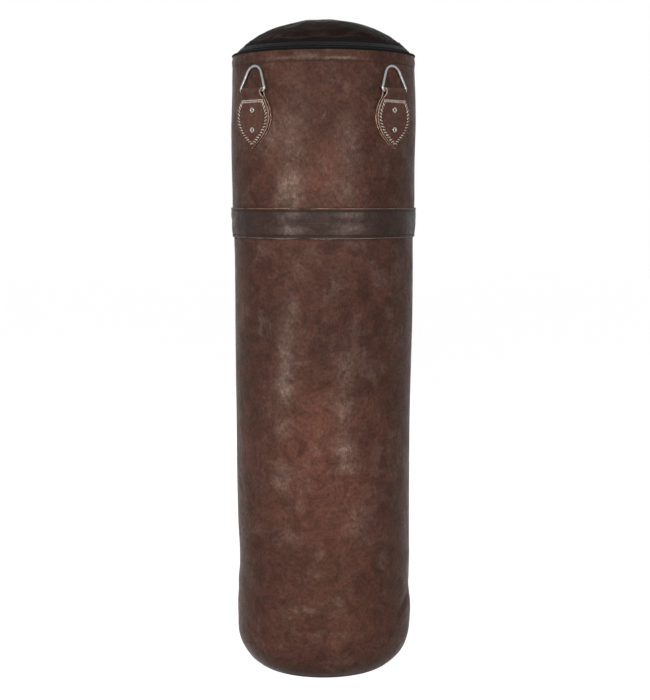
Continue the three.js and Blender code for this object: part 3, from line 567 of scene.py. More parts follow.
# Pale patches on the wall: those at the front, down the two lines where the lamps' sheen falls and
# along the hem, are painted highlight as much as wear; those round the back are wear.
WEAR_AND_HIGHLIGHT_SPOTS = [
    (-21, 0.902, 8, 0.034, 0.95),
    (-19, 0.985, 8, 0.070, 0.45),
    (-34, 1.000, 8, 0.030, 0.45),
    (13, 0.905, 7, 0.022, 0.50),
    (15, 0.985, 7, 0.050, 0.40),
    (-9, 1.140, 5, 0.005, 0.85),
    (10, 1.1365, 10, 0.0021, 1.00),
    (-23, 1.1370, 11, 0.0022, 0.80),
    (-19, 0.700, 4, 0.030, 0.40),
    (-24, 0.620, 6, 0.060, 0.55),
    (-26, 0.548, 6, 0.030, 0.72),
    (-27, 0.480, 6, 0.020, 0.45),
    (14, 0.580, 6, 0.036, 0.45),
    (12, 0.510, 6, 0.030, 0.55),
    (14, 0.440, 6, 0.022, 1.00),
    (15, 0.405, 9, 0.005, 1.00),
    (17, 0.640, 4, 0.030, 0.25),
    (-28, 0.388, 8, 0.026, 0.65),
    (23, 0.305, 9, 0.030, 0.45),
    (-24, 0.278, 10, 0.020, 0.30),
    (-14, 0.143, 12, 0.006, 0.50),
    (108, 0.960, 12, 0.060, 0.50),
    (-112, 0.640, 14, 0.090, 0.50),
    (128, 0.560, 16, 0.080, 0.50),
    (-150, 0.340, 14, 0.060, 0.55),
    (160, 0.250, 14, 0.050, 0.50),
    (-98, 0.960, 10, 0.050, 0.45),
]
ROSY_SPOTS = [
    (0, 0.935, 16, 0.050, 0.75),
    (-2, 0.500, 22, 0.060, 0.60),
    (-8, 0.400, 34, 0.080, 0.75),
    (4, 0.300, 30, 0.060, 0.50),
    (-70, 0.720, 10, 0.080, 0.40),
    (10, 0.130, 40, 0.050, 0.45),
    (-40, 0.930, 10, 0.040, 0.40),
    (120, 0.420, 30, 0.100, 0.60),
    (-140, 0.460, 30, 0.090, 0.60),
    (175, 0.950, 26, 0.060, 0.50),
]


def mark_wear_and_shade(piece):
    """Marks the hide: pale patches at the front, partly wear from blows and partly painted highlight;
    painted shade at the hem's stitch groove, the rim's turn and the band's edges; darker towards the
    foot.
    """
    _, azimuth, height = points_of(piece)
    # darker towards the foot
    grime = 0.34 * (1 - between(height, 0.006, 0.055))
    # painted shade in the groove of the hem's stitch line, and near black at the rim's top, where the
    # hem turns in under the zip tape
    grime = grime + 0.34 * np.exp(-(((height - 1.1308) / 0.0011) ** 2))
    grime = grime + 0.95 * between(height, RIM - HEM_TURN, RIM - 0.0004)
    # painted shade on the wall beside the band's top and bottom edges
    for edge in (BAND_BOTTOM, BAND_TOP):
        grime = grime + 0.34 * np.exp(-(((height - edge) / 0.0030) ** 2))
    rosy = 0.22 * (1 - between(height, 0.46, 0.62)) + patches(azimuth, height, ROSY_SPOTS)
    mark(piece, worn=patches(azimuth, height, WEAR_AND_HIGHLIGHT_SPOTS), rosy=rosy, grime=grime, raw=0)


def ride(piece, body, slot, *nodes):
    """Fixes a piece to the part of the bag that it moves with, in the place of plain solids."""
    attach(piece, body)
    if nodes:
        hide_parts(*nodes)
    return piece


LEATHER = 0.003

main_out = span(BASE_SEAM + WELT_GAP, PANEL_SEAM - CLEAR)
main_in = main_out[::-1][::5]
main_leather = shell("main_leather", main_out, 0, main_in, LEATHER, body_leather)
mark_wear_and_shade(main_leather)
ride(main_leather, "bag", "body_leather", "main_panel")

upper_out = np.concatenate([span(PANEL_SEAM + CLEAR, RIM - HEM_TURN), [RIM - 0.0005, RIM, RIM]])
upper_out_inset = np.zeros(len(upper_out))
upper_out_inset[-3:] = 0.0004, 0.0012, 0.0032
upper_in = np.concatenate(
    [[RIM - 0.0008, HEM_FOOT, HEM_FOOT - 0.0004], span(PANEL_SEAM + CLEAR, 1.125)[::-1][::4]]
)
upper_in_inset = np.full(len(upper_in), LEATHER)
upper_in_inset[:2] = 0.0042
upper_leather = shell(
    "upper_leather", upper_out, upper_out_inset, upper_in, upper_in_inset, body_leather
)
mark_wear_and_shade(upper_leather)
ride(upper_leather, "bag", "body_leather", "upper_panel")

base_course = courses[courses <= BASE_SEAM - WELT_GAP + 1e-6]
base_rows = np.concatenate([layer(base_course, 0), layer(base_course[::-1], LEATHER)])
flat_share = np.array([0.004, 0.25, 0.5, 0.75, 0.94])[:, None, None]
under, above = np.array([0, 0, CLEAR]), np.array([0, 0, CLEAR + LEATHER])
disc_under = base_rows[0][None] * [1, 1, 0] * flat_share + under
disc_above = base_rows[-1][None] * [1, 1, 0] * flat_share[::-1] + above
middle = np.zeros((1, AROUND, 3))
base_rows = np.concatenate([middle + under, disc_under, base_rows, disc_above, middle + above])
base_along = np.linspace(0, 0.28, len(base_rows))
base_leather = loft(
    "base_leather", base_rows, round_the_bag * 0.12, base_along, body_leather, looped=False
)
mark(base_leather, worn=0.12, rosy=0.2, grime=0.22, raw=0)
ride(base_leather, "bag", "body_leather", "base_disc")

# ------------------------------------------------------------------------------------------------
# The reinforcement band: a darker strap of harness leather wrapped over the panels' seam. Its cut
# edges are left raw, and a row of waxed thread near each edge pulls it in.

band_leather = hide(
    "band leather",
    deep=tone(44, 34, 30), brown=tone(66, 51, 45), warm=tone(78, 55, 47),
    worn=tone(160, 142, 130), raw=tone(186, 150, 132), gloss=0.08, rough=0.36, wear=0.8, relief=0.7,
)

BAND_THICK = 0.0026
LIE = 0.00035  # between two layers that lie against each other
band_round = azimuths[None]
band_level = np.concatenate(
    [
        [BAND_BOTTOM, BAND_BOTTOM],
        np.linspace(BAND_BOTTOM + 0.0005, BAND_TOP - 0.0005, 54),
        [BAND_TOP, BAND_TOP, BAND_TOP],
        np.linspace(BAND_TOP, BAND_BOTTOM, 10),
    ]
)
band_inset = np.full(len(band_level), -LIE)
band_inset[0:2] = -LIE, -LIE - BAND_THICK * 0.8
band_inset[2:56] = -LIE - BAND_THICK
band_inset[56:58] = -LIE - BAND_THICK * 0.8, -LIE - BAND_THICK * 0.3
band_rows = layer(band_level, band_inset)
from_edge = np.minimum(band_level - BAND_BOTTOM, BAND_TOP - band_level)
outside = (band_inset < -LIE - BAND_THICK * 0.9)[:, None]
band_dip = -0.0007 * np.exp(-(((from_edge[:, None] - 0.0050) / 0.0013) ** 2))
middle = 0.8498 + 0.0006 * waves(band_round, 0, 6, (1, 7), (1, 2), 5)
for crease, deep in ((0.0, -0.0006), (0.0042, -0.0004)):
    band_dip = band_dip + deep * np.exp(-(((band_level[:, None] - middle - crease) / 0.0011) ** 2))
belly = 0.0006 * between(from_edge[:, None], 0.006, 0.020)
belly = belly * (1 + 0.8 * waves(band_round, band_level[:, None], 8, (2, 11), (0.03, 0.1), 8))
cut_wave = 0.00045 * waves(band_round, 0, 8, (2, 19), (1, 2), 9)
cut_wave = cut_wave * np.sign(band_level[:, None] - PANEL_SEAM) * (from_edge[:, None] < 0.0012)
shift = outside * (band_dip + belly)
band_rows = band_rows + shift[:, :, None] * turned(1, band_round, 0)
band_rows[:, :, 2] += cut_wave
band_along = np.concatenate([[0], np.cumsum(np.abs(np.diff(band_level)) + 0.0008)])
band_along = np.concatenate([band_along, [band_along[-1] + 0.002]])
band = loft("reinforcing_band", band_rows, round_the_bag * 0.174, band_along, band_leather)
_, band_azimuth, band_height = points_of(band)
edge_near = np.minimum(band_height - BAND_BOTTOM, BAND_TOP - band_height)
# Pale spots on the band: partly wear, and partly painted highlight where the lamps' sheen crosses it.
BAND_SPOTS = [
    (-19, 0.861, 9, 0.010, 0.75),
    (-19, 0.835, 8, 0.010, 0.85),
    (16, 0.863, 9, 0.007, 0.70),
    (15, 0.836, 10, 0.012, 0.95),
    (130, 0.848, 16, 0.020, 0.60),
    (-120, 0.840, 16, 0.020, 0.60),
]
# painted shade in the grooves along the band's two stitch lines
mark(
    band,
    worn=patches(band_azimuth, band_height, BAND_SPOTS),
    rosy=0.25 * patches(band_azimuth, band_height, [(-30, 0.835, 14, 0.02, 1), (0, 0.85, 9, 0.01, 1)]),
    grime=0.75 * np.exp(-(((edge_near - 0.0050) / 0.0017) ** 2)),
    raw=(edge_near < 0.0009) * 1.0,
)
ride(band, "bag", "band_leather", "reinforcement_band")

# ------------------------------------------------------------------------------------------------
# Thread and other repeated things: one tree lays copies of a small shape along a path. Thread is a
# bead with its two ends drawn down into the leather, laid at the machine's pitch or the awl's.


def node_tree(name, inputs, result, nodes, links):
    """A tree that makes a shape on a path: its named inputs, its nodes, and what joins them."""
    tree = bpy.data.node_groups.new(name, "GeometryNodeTree")
    for key, kind in {"Path": "Geometry", **inputs}.items():
        tree.interface.new_socket(key, in_out="INPUT", socket_type="NodeSocket" + kind)
    tree.interface.new_socket(result, in_out="OUTPUT", socket_type="NodeSocketGeometry")
    made = {}
    for key, (kind, settings) in nodes.items():
        made[key] = tree.nodes.new(kind)
        for setting, value in settings.items():
            setattr(made[key], setting, value)
    for start, out, end, into in links:
        tree.links.new(made[start].outputs[out], made[end].inputs[into])
    return tree, made


# x of the shape lies along the path, and z out of the face that the path is on
laying, laying_nodes = node_tree(
    "laid along a path",
    {
        "Shape": "Object", "Finish": "Material", "Pitch": "Float", "Slant": "Float",
        "Unevenness": "Float", "Seed": "Int",
    },
    "Laid",
    {
        "given": ("NodeGroupInput", {}),
        "line": ("GeometryNodeMeshToCurve", {}),
        "spaced": ("GeometryNodeResampleCurve", {"mode": "LENGTH"}),
        "shape": ("GeometryNodeObjectInfo", {"transform_space": "ORIGINAL"}),
        "along": ("GeometryNodeInputNamedAttribute", {"data_type": "FLOAT_VECTOR"}),
        "out": ("GeometryNodeInputNamedAttribute", {"data_type": "FLOAT_VECTOR"}),
        "with path": ("FunctionNodeAlignRotationToVector", {"axis": "X", "pivot_axis": "AUTO"}),
        "facing": ("FunctionNodeAlignRotationToVector", {"axis": "Z", "pivot_axis": "X"}),
        "laid": ("GeometryNodeInstanceOnPoints", {}),
        "turned": ("GeometryNodeRotateInstances", {}),
        "chance": ("FunctionNodeRandomValue", {"data_type": "FLOAT"}),
        "less": ("ShaderNodeMath", {"operation": "MULTIPLY"}),
        "lean": ("ShaderNodeMath", {"operation": "ADD"}),
        "turn": ("ShaderNodeCombineXYZ", {}),
        "real": ("GeometryNodeRealizeInstances", {}),
        "smooth": ("GeometryNodeSetShadeSmooth", {}),
        "finished": ("GeometryNodeSetMaterial", {}),
        "result": ("NodeGroupOutput", {}),
    },
    [
        ("given", "Path", "line", "Mesh"), ("line", "Curve", "spaced", "Curve"),
        ("given", "Pitch", "spaced", "Length"), ("given", "Shape", "shape", "Object"),
        ("along", "Attribute", "with path", "Vector"),
        ("with path", "Rotation", "facing", "Rotation"), ("out", "Attribute", "facing", "Vector"),
        ("spaced", "Curve", "laid", "Points"), ("shape", "Geometry", "laid", "Instance"),
        ("facing", "Rotation", "laid", "Rotation"), ("given", "Unevenness", "chance", "Max"),
        ("given", "Unevenness", "less", 0), ("less", 0, "chance", "Min"),
        ("given", "Seed", "chance", "Seed"), ("chance", "Value", "lean", 0),
        ("given", "Slant", "lean", 1), ("lean", 0, "turn", "Z"),
        ("laid", "Instances", "turned", "Instances"), ("turn", "Vector", "turned", "Rotation"),
        ("turned", "Instances", "real", "Geometry"), ("real", "Geometry", "smooth", "Geometry"),
        ("smooth", "Geometry", "finished", "Geometry"),
        ("given", "Finish", "finished", "Material"), ("finished", "Geometry", "result", "Laid"),
    ],
)
laying_nodes["along"].inputs["Name"].default_value = "along"
laying_nodes["out"].inputs["Name"].default_value = "out"
laying_nodes["less"].inputs[1].default_value = -1


def path_object(name, lines):
    """Lines of points as one object, each point keeping its way along and its way out."""
    points, edges, alongs, outs = [], [], [], []
    for line, out, closed in lines:
        line, out = np.asarray(line, float), np.asarray(out, float)
        if closed:
            along = np.roll(line, -1, axis=0) - np.roll(line, 1, axis=0)
        else:
            along = np.gradient(line, axis=0)
        along = along / np.linalg.norm(along, axis=1, keepdims=True)
        first = len(points)
        edges += [(first + i, first + i + 1) for i in range(len(line) - 1)]
        if closed:
            edges.append((first + len(line) - 1, first))
        points += line.tolist()
        alongs += along.tolist()
        outs += np.broadcast_to(out, line.shape).tolist()
    mesh = bpy.data.meshes.new(name)
    mesh.from_pydata(points, edges, [])
    for key, values in (("along", alongs), ("out", outs)):
        kept = mesh.attributes.new(key, "FLOAT_VECTOR", "POINT")
        kept.data.foreach_set("vector", np.array(values, np.float32).ravel())
    return set_out(name, mesh)


def made_by(tree, piece, **inputs):
    """Runs a tree on a piece, with its named inputs set, and keeps the result as a plain mesh."""
    run = piece.modifiers.new("made", "NODES")
    run.node_group = tree
    sockets = {s.name: s.identifier for s in tree.interface.items_tree if s.in_out == "INPUT"}
    for name, value in inputs.items():
        run[sockets[name]] = value
    piece.update_tag()
    ready = piece.evaluated_get(bpy.context.evaluated_depsgraph_get())
    mesh = bpy.data.meshes.new_from_object(ready)
    piece.modifiers.remove(run)
    piece.data = mesh
    mesh.name = piece.name
    return piece


def ring_faces(count, wide, looped):
    """The faces between rings of points, each ring to the next, and the last to the first."""
    return [
        (k * wide + i, k * wide + (i + 1) % wide, after * wide + (i + 1) % wide, after * wide + i)
        for k in range(count if looped else count - 1)
        for after in [(k + 1) % count]
        for i in range(wide)
    ]


def small_shape(name, rings, looped=True):
    """A small closed shape from rings of points: a loop of them, or a row with its ends capped."""
    rings = np.array(rings)
    count, wide = rings.shape[:2]
    faces = ring_faces(count, wide, looped)
    if not looped:
        faces.append(tuple(range(wide))[::-1])
        faces.append(tuple(range((count - 1) * wide, count * wide)))
    mesh = bpy.data.meshes.new(name)
    mesh.from_pydata(rings.reshape(-1, 3).tolist(), [], faces)
    closed_up(mesh, None)
    return set_out(name, mesh)


def circle(sides, first=0.0):
    """The angles of a ring's points."""
    return 2 * math.pi * (np.arange(sides) + first) / sides


def bead(name, length, thick, dip=0.55):
    """One stitch: a short round thread, x along it, whose ends go down into the leather."""
    a = circle(6)
    rings = []
    for share, fat, rise in (
        (-0.5, 0.45, -dip), (-0.36, 0.95, 0.12), (0, 1.08, 0.42), (0.36, 0.95, 0.12),
        (0.5, 0.45, -dip),
    ):
        y, z = thick * fat * np.cos(a), thick * (rise + fat * np.sin(a))
        rings.append(np.stack([share * length + 0 * a, y, z], axis=1))
    return small_shape(name, rings, looped=False)


def thread(name, pale, dark):
    """Waxed linen thread: two plies that show as fine slanting ridges, dulled by dust."""
    f = Finish(name)
    plies = f.noise(f.here, 1500, 2, 0.6)
    dust = f.noise(f.here, 260, 3, 0.6)
    colour = f.over(f.scale_to(dust, 0.32, 0.62), dark, pale)
    colour = f.over(f.scale_to(plies, 0.35, 0.60, 0.35, 0), colour, dark)
    f.set(
        Base_Color=colour, Roughness=f.scale_to(dust, 0.3, 0.7, 0.62, 0.78),
        Specular_IOR_Level=0.25, Normal=f.relief(plies, 0.0003),
    )
    return f.material


dark_thread = thread("dark thread", tone(62, 50, 44), tone(26, 21, 19))
pale_thread = thread("pale thread", tone(214, 200, 188), tone(128, 106, 94))


def seam_round(course, proud, wander=0.0, seed=1, reach=None):
    """A line of stitching round the bag at one place up it, a little proud of the face."""
    row = layer([course], [-proud])[0]
    row[:, 2] += wander * waves(azimuths, 0, 6, (1, 9), (1, 2), seed)
    out = turned(1, azimuths, 0)
    if reach is not None:
        keep = np.abs(azimuths) < reach
        return row[keep], out[keep], False
    return row, out, True


def lay(name, lines, shape, finish, pitch, slant, uneven, seed):
    """Copies of a small shape along lines, as one piece."""
    piece = made_by(
        laying, path_object(name, lines), Shape=shape, Finish=finish, Pitch=pitch, Slant=slant,
        Unevenness=uneven, Seed=seed,
    )
    bpy.data.objects.remove(shape)
    return piece


def bead_seam(name, lines, length, thick, pitch, material, slant=0.0, uneven=0.06, seed=3):
    """Stitching along lines, as one piece."""
    stitch = bead(name + "_bead", length, thick)
    return lay(name, lines, stitch, material, pitch, slant, uneven, seed)


DOME_BACK = 18.4 / 169
band_proud = LIE + BAND_THICK - 0.0006
wall_thread = bead_seam(
    "wall_stitching",
    [
        seam_round(BAND_TOP - 0.0050, band_proud, 0.0003, 7),
        seam_round(BAND_BOTTOM + 0.0050, band_proud, 0.0003, 8),
        seam_round(1.1315, 0.0002, 0.0004, 12, math.pi - DOME_BACK),
    ],
    0.0027, 0.00042, 0.0030, dark_thread,
)
ride(wall_thread, "bag", "band_leather")

# ------------------------------------------------------------------------------------------------
# The base seam: a leather piping caught between the wall's foot and the base disc, sewn through
# all three with close stitches on the wall's side.


sweeping, sweeping_nodes = node_tree(
    "rod along a path",
    {"Radius": "Float", "Sides": "Int", "Finish": "Material"},
    "Rod",
    {
        "given": ("NodeGroupInput", {}),
        "line": ("GeometryNodeMeshToCurve", {}),
        "section": ("GeometryNodeCurvePrimitiveCircle", {}),
        "rod": ("GeometryNodeCurveToMesh", {}),
        "smooth": ("GeometryNodeSetShadeSmooth", {}),
        "real": ("GeometryNodeRealizeInstances", {}),
        "finished": ("GeometryNodeSetMaterial", {}),
        "result": ("NodeGroupOutput", {}),
    },
    [
        ("given", "Path", "line", "Mesh"), ("line", "Curve", "rod", "Curve"),
        ("given", "Radius", "section", "Radius"), ("given", "Sides", "section", "Resolution"),
        ("section", "Curve", "rod", "Profile Curve"), ("rod", "Mesh", "smooth", "Geometry"),
        ("smooth", "Geometry", "real", "Geometry"), ("real", "Geometry", "finished", "Geometry"),
        ("given", "Finish", "finished", "Material"), ("finished", "Geometry", "result", "Rod"),
    ],
)
sweeping_nodes["rod"].inputs["Fill Caps"].default_value = True


def rod(name, lines, radius, sides, material):
    """Round rods along lines, as one piece with its faces outwards."""
    piece = made_by(
        sweeping, path_object(name, lines), Radius=radius, Sides=sides, Finish=material
    )
    closed_up(piece.data, 1e-7)
    piece.data.shade_smooth()
    return piece


piping = rod("base_piping", [seam_round(BASE_SEAM, -0.0010)], 0.0018, 12, band_leather)
mark(piping, worn=0.25, rosy=0, grime=0.35, raw=0)
ride(piping, "bag", "band_leather", "base_welt")
base_thread = bead_seam(
    "base_stitching", [seam_round(BASE_SEAM + 0.0040, 0.0001, 0.0002, 4)],
    0.0034, 0.00045, 0.0038, dark_thread,
)
ride(base_thread, "bag", "body_leather")

# ------------------------------------------------------------------------------------------------
# The back seam: both panels' edges butt at the back under a strip of harness leather, in two
# lengths above and below the band, with a row of stitches near each long edge.

STRIP_HALF = 0.015
STRIP_THICK = 0.0022
STRIP_SEWN = 0.72  # the stitches' share of the half width


def face_behind(reach, azimuth, height):
    """Points behind the bag, at azimuths from its back."""
    return np.stack([reach * np.sin(azimuth), reach * np.cos(azimuth), height + 0 * reach], axis=-1)


def seam_strip(name, low, high, node):
    """One length of the strip, following the wall, and its two rows of stitches."""
    levels = span(low, high)
    across = np.array([-1, -0.985, -0.9, -0.72, -0.45, 0, 0.45, 0.72, 0.9, 0.985, 1])
    azimuth = across * STRIP_HALF / 0.169
    sunk = -0.00035 * np.exp(-(((np.abs(across) - STRIP_SEWN) / 0.10) ** 2))
    top = np.full(len(across), STRIP_THICK)
    top[[0, -1]] = STRIP_THICK * 0.72
    radius, height, _, _ = wall_place(levels, 0.0)
    back = radius + np.interp(levels, courses, swelling[:, 0])
    faces = [
        face_behind(back[:, None] + lift, azimuth, height[:, None])[:, ::order]
        for lift, order in ((LIE + top + sunk, 1), (LIE + 0 * top, -1))
    ]
    loops = np.concatenate(faces, axis=1)
    girth = walked(loops[0], STRIP_THICK)
    piece = loft(name, loops.transpose(1, 0, 2), levels, girth, band_leather, around=False)
    edge = STRIP_HALF - np.abs(points_of(piece)[0][:, 0])
    # painted shade in the grooves along the two stitch lines
    mark(
        piece, worn=0.25, rosy=0, raw=(edge < 0.0005) * 1.0,
        grime=0.6 * np.exp(-(((edge - 0.0042) / 0.0014) ** 2)),
    )
    ride(piece, "bag", "band_leather", node)
    lines = []
    inner = (levels > low + 0.003) & (levels < high - 0.003)
    for side in (-1, 1):
        a = side * STRIP_SEWN * STRIP_HALF / 0.169
        line = face_behind(back[inner] + LIE + STRIP_THICK - 0.0003, a, height[inner])
        lines.append((line, [math.sin(a), math.cos(a), 0], False))
    sewn = bead_seam(name + "_stitching", lines, 0.0030, 0.00042, 0.0034, dark_thread)
    ride(sewn, "bag", "band_leather")


seam_strip("back_strip_lower", 0.080, BAND_BOTTOM - LIE, "back_seam_strip_lower")
seam_strip("back_strip_upper", BAND_TOP + LIE, 1.1236, "back_seam_strip_upper")

# ------------------------------------------------------------------------------------------------
# The zip: two black cotton tapes, one sewn inside the hem and one under the lid's edge, that lean in
# at 45 degrees, each with a coil of nylon along its edge. The metal slider parks at the back.

ZIP_RADIUS, ZIP_HEIGHT = 0.156218, 1.161632
TAPE_HALF = 0.0006
LEAN = math.sqrt(0.5)
LOWER_END = math.pi - math.radians(9.7)
UPPER_END = math.pi - math.radians(15.55)
UPPER_COIL_END = math.pi - math.radians(19.6)

f = Finish("zip tape")
rib = f.bands(950, 1, "DIAGONAL", 1.5)
lint = f.noise(f.here, 420, 4, 0.7)
cotton = f.over(f.scale_to(lint, 0.45, 0.75), tone(14, 14, 15), tone(36, 35, 37))
cotton = f.over(f.scale_to(rib, 0, 1, 0.35, 0), cotton, tone(9, 9, 10))
f.set(
    Base_Color=cotton, Roughness=f.scale_to(lint, 0.3, 0.7, 0.78, 0.92), Specular_IOR_Level=0.08,
    Normal=f.relief(rib, 0.00025, f.relief(lint, 0.0004)),
)
zip_tape = f.material

f = Finish("zip nylon")
scratch = f.noise(f.here, 700, 3, 0.6)
nylon = f.over(f.scale_to(scratch, 0.4, 0.7), tone(26, 26, 28), tone(58, 58, 61))
f.set(
    Base_Color=nylon, Roughness=f.scale_to(scratch, 0.3, 0.7, 0.32, 0.5), Specular_IOR_Level=0.25,
    Normal=f.relief(scratch, 0.0001),
)
zip_nylon = f.material


def metal(name, bare, dull, rough=0.30, tarnish=0.5):
    """Plated steel: fine drawn scratches, dull spots and a little soiling in the plating."""
    f = Finish(name)
    spots = f.noise(f.here, 130, 5, 0.7, 0.4)
    fine = f.noise(f.stretch(f.here, (1400, 1400, 420)), 1, 3, 0.6)
    colour = f.over(f.scale_to(spots, 0.48, 0.72, 0, tarnish), bare, dull)
    colour = f.over(f.scale_to(fine, 0.55, 0.75, 0, 0.22), colour, dull)
    f.set(
        Base_Color=colour, Metallic=1.0, Normal=f.relief(fine, 0.00002, f.relief(spots, 0.00008)),
        Roughness=f.scale_to(spots, 0.3, 0.7, rough - 0.07, rough + 0.16),
    )
    return f.material


zip_metal = metal("zip metal", tone(88, 86, 84), tone(40, 38, 37), 0.36)


def on_slope(up, out):
    """Radius and height of a place on the zip: up its slope towards the lid, and out of its face."""
    return ZIP_RADIUS - up * LEAN + out * LEAN, ZIP_HEIGHT + up * LEAN + out * LEAN


def round_zip(end, count, up, out):
    """A line on the zip from one of its ends round the front to the other, and its way out."""
    azimuth = np.linspace(-end, end, count)
    radius, height = on_slope(up, out)
    return turned(radius, azimuth, height), turned(LEAN, azimuth, LEAN), False


def tape(name, section, end, nodes):
    """A tape from one of its ends round the front to the other, from its section's corners."""
    azimuth = np.linspace(-end, end, 260)
    section = np.array(section)
    sway = 0.00016 * waves(azimuth, 0, 8, (5, 40), (1, 2), 17)
    rows = [turned(radius + sway, azimuth, height + sway) for radius, height in section]
    along = walked(np.concatenate([section, section[:1]]))
    piece = loft(name, rows, azimuth * 0.16, along, zip_tape, around=False)
    return ride(piece, "bag" if "lower" in name else "lid", "zip_tape", *nodes)


bend_r = 0.16435  # where the lower tape turns up out of the hem
tape(
    "lower_zip_tape",
    [
        (bend_r - TAPE_HALF, 1.1325), (bend_r + TAPE_HALF, 1.1325), (bend_r + TAPE_HALF, 1.1524),
        (0.1690, 1.1523), (0.1698, 1.1510), (0.1703, 1.1516), (0.1700, 1.1538), (0.1684, 1.1548),
        (bend_r + 0.0010, 1.1548), on_slope(-0.0105, TAPE_HALF + 0.0001),
        on_slope(-0.0080, TAPE_HALF), on_slope(-0.0060, TAPE_HALF - 0.0002),
        on_slope(-0.0044, TAPE_HALF), on_slope(-0.0044, -TAPE_HALF),
        on_slope(-0.0070, -TAPE_HALF), (bend_r - TAPE_HALF, 1.1531), (bend_r - TAPE_HALF, 1.150),
    ],
    LOWER_END, ["zip_lower_tape"],
)
tape(
    "upper_zip_tape",
    [
        on_slope(0.0044, -TAPE_HALF), on_slope(0.0044, TAPE_HALF), on_slope(0.0060, TAPE_HALF - 0.0002),
        on_slope(0.0080, TAPE_HALF), on_slope(0.0108, TAPE_HALF), (0.1470, 1.1694),
        (0.1395, 1.1694), (0.1395, 1.1682), (0.1465, 1.1682), on_slope(0.0095, -TAPE_HALF),
    ],
    UPPER_END, ["zip_upper_tape"],
)


def coil_turn():
    """One turn of the nylon coil: a flattened loop of thin rod, closed, 48 faces."""
    wire, width, rise, lean = 0.00042, 0.00185, 0.00105, 0.00034
    b = circle(4, 0.5)
    rings = []
    for a in circle(12):
        y = (width + wire * np.cos(b)) * math.cos(a)
        z = rise * math.sin(a) + wire * np.cos(b) * math.sin(a)
        rings.append(np.stack([wire * np.sin(b) + lean * math.sin(a), y, z], axis=1))
    return small_shape("coil_turn", rings)


def coil(name, up, end, body, node):
    """A row of the coil's turns along one tape's edge."""
    line = round_zip(end, 720, up, 0.0)
    ride(lay(name, [line], coil_turn(), zip_nylon, 0.00165, 0.0, 0.03, 5), body, "zip_nylon", node)


coil("lower_zip_coil", -0.00262, LOWER_END, "bag", "zip_lower_teeth")
coil("upper_zip_coil", 0.00262, UPPER_COIL_END, "lid", "zip_upper_teeth")

black_thread = thread("black thread", tone(58, 56, 56), tone(12, 12, 13))
tape_thread = bead_seam(
    "lower_tape_stitching", [round_zip(LOWER_END, 400, -0.0093, TAPE_HALF + 0.0001)],
    0.0024, 0.00035, 0.0027, black_thread,
)
ride(tape_thread, "bag", "zip_tape")

for name in ("zip_slider", "zip_pull", "zip_end_stop_right", "zip_end_stop_left"):
    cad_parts[name].material_slots[0].material = zip_metal

# ------------------------------------------------------------------------------------------------
# The lid: a near-black leather dome over a foam pad, cut a little full and gathered into the zip, so
# that it puckers all round its edge. A canvas lining closes it underneath.

LID_RADIUS, LID_EDGE, LID_DOME = 0.148087, 1.169763, 0.050237
dome_share = np.concatenate([np.linspace(1, 0.80, 22), np.linspace(0.78, 0.02, 24)])


def dome_rise(share, tall=LID_DOME):
    """The dome's rise above its edge, at shares of its radius."""
    return tall * (1 - share**2) ** 0.78


def dome_rows(inset):
    """Rows of points over the dome, at an inset from its outside, from the edge to the crown."""
    radius = (LID_RADIUS - inset) * dome_share[:, None]
    return turned(radius, azimuths, LID_EDGE + dome_rise(dome_share, LID_DOME - inset)[:, None])


def stuffed(rows, fixed, fullness, push, limit, every=2):
    """How far leather on these rows moves when it is cut full, held at its edges and stuffed."""
    still = np.zeros_like(rows)
    part = rows[:, ::every]
    count, wide = part.shape[:2]
    mesh = bpy.data.meshes.new("stuffing")
    mesh.from_pydata(part.reshape(-1, 3).tolist(), [], ring_faces(count, wide, False))
    skin = set_out("stuffing", mesh)
    pinned = skin.vertex_groups.new(name="held")
    pinned.add([k * wide + i for k in fixed for i in range(wide)], 1.0, "REPLACE")
    cloth = skin.modifiers.new("cloth", "CLOTH")
    given = cloth.settings
    given.quality = 6
    given.mass = 0.5
    given.tension_stiffness = given.compression_stiffness = 25
    given.shear_stiffness = 12
    given.bending_stiffness = 4
    given.shrink_min = given.shrink_max = -fullness
    given.use_pressure = True
    given.uniform_pressure_force = push
    given.vertex_group_mass = "held"
    given.effector_weights.gravity = 0
    for when in range(1, 21):
        scene.frame_set(when)
    ready = skin.evaluated_get(bpy.context.evaluated_depsgraph_get())
    moved = points_of(ready)[0].reshape(count, wide, 3) - part
    bpy.data.objects.remove(skin)
    scene.frame_set(1)
    far = np.linalg.norm(moved, axis=2, keepdims=True)
    moved = moved * np.minimum(1, limit / np.maximum(far, 1e-9))
    moved = (moved + np.roll(moved, 1, axis=1) + np.roll(moved, -1, axis=1)) / 3
    for i in range(rows.shape[1]):
        before, after = (i // every) % wide, (i // every + 1) % wide
        part_way = (i % every) / every
        still[:, i] = moved[:, before] * (1 - part_way) + moved[:, after] * part_way
    return still


lid_rows = dome_rows(0)
lid_azimuth = azimuths[None]
in_from_edge = LID_RADIUS * (1 - dome_share)[:, None]
gather = waves(lid_azimuth, in_from_edge, 9, (26, 61), (0.08, 0.3), 41)
broad = waves(lid_azimuth, in_from_edge, 7, (3, 13), (0.1, 0.4), 43)
pucker = (0.00055 * gather - 0.0009 * np.maximum(gather - 0.7, 0)) * np.exp(
    -((in_from_edge / 0.030) ** 2)
)
pucker = pucker * between(in_from_edge, 0.0, 0.005) * (1 + 0.6 * broad)
rolled = 0.0004 * np.exp(-(((in_from_edge - 0.0065) / 0.0045) ** 2))
sewn_down = -0.0008 * np.exp(-(((in_from_edge - 0.0032) / 0.0010) ** 2))
broad_lift = 0.0008 * broad * between(in_from_edge, 0.01, 0.05) * (
    1 - between(in_from_edge, 0.10, 0.145)
)
lift = (pucker + rolled + sewn_down + broad_lift)[:, :, None]
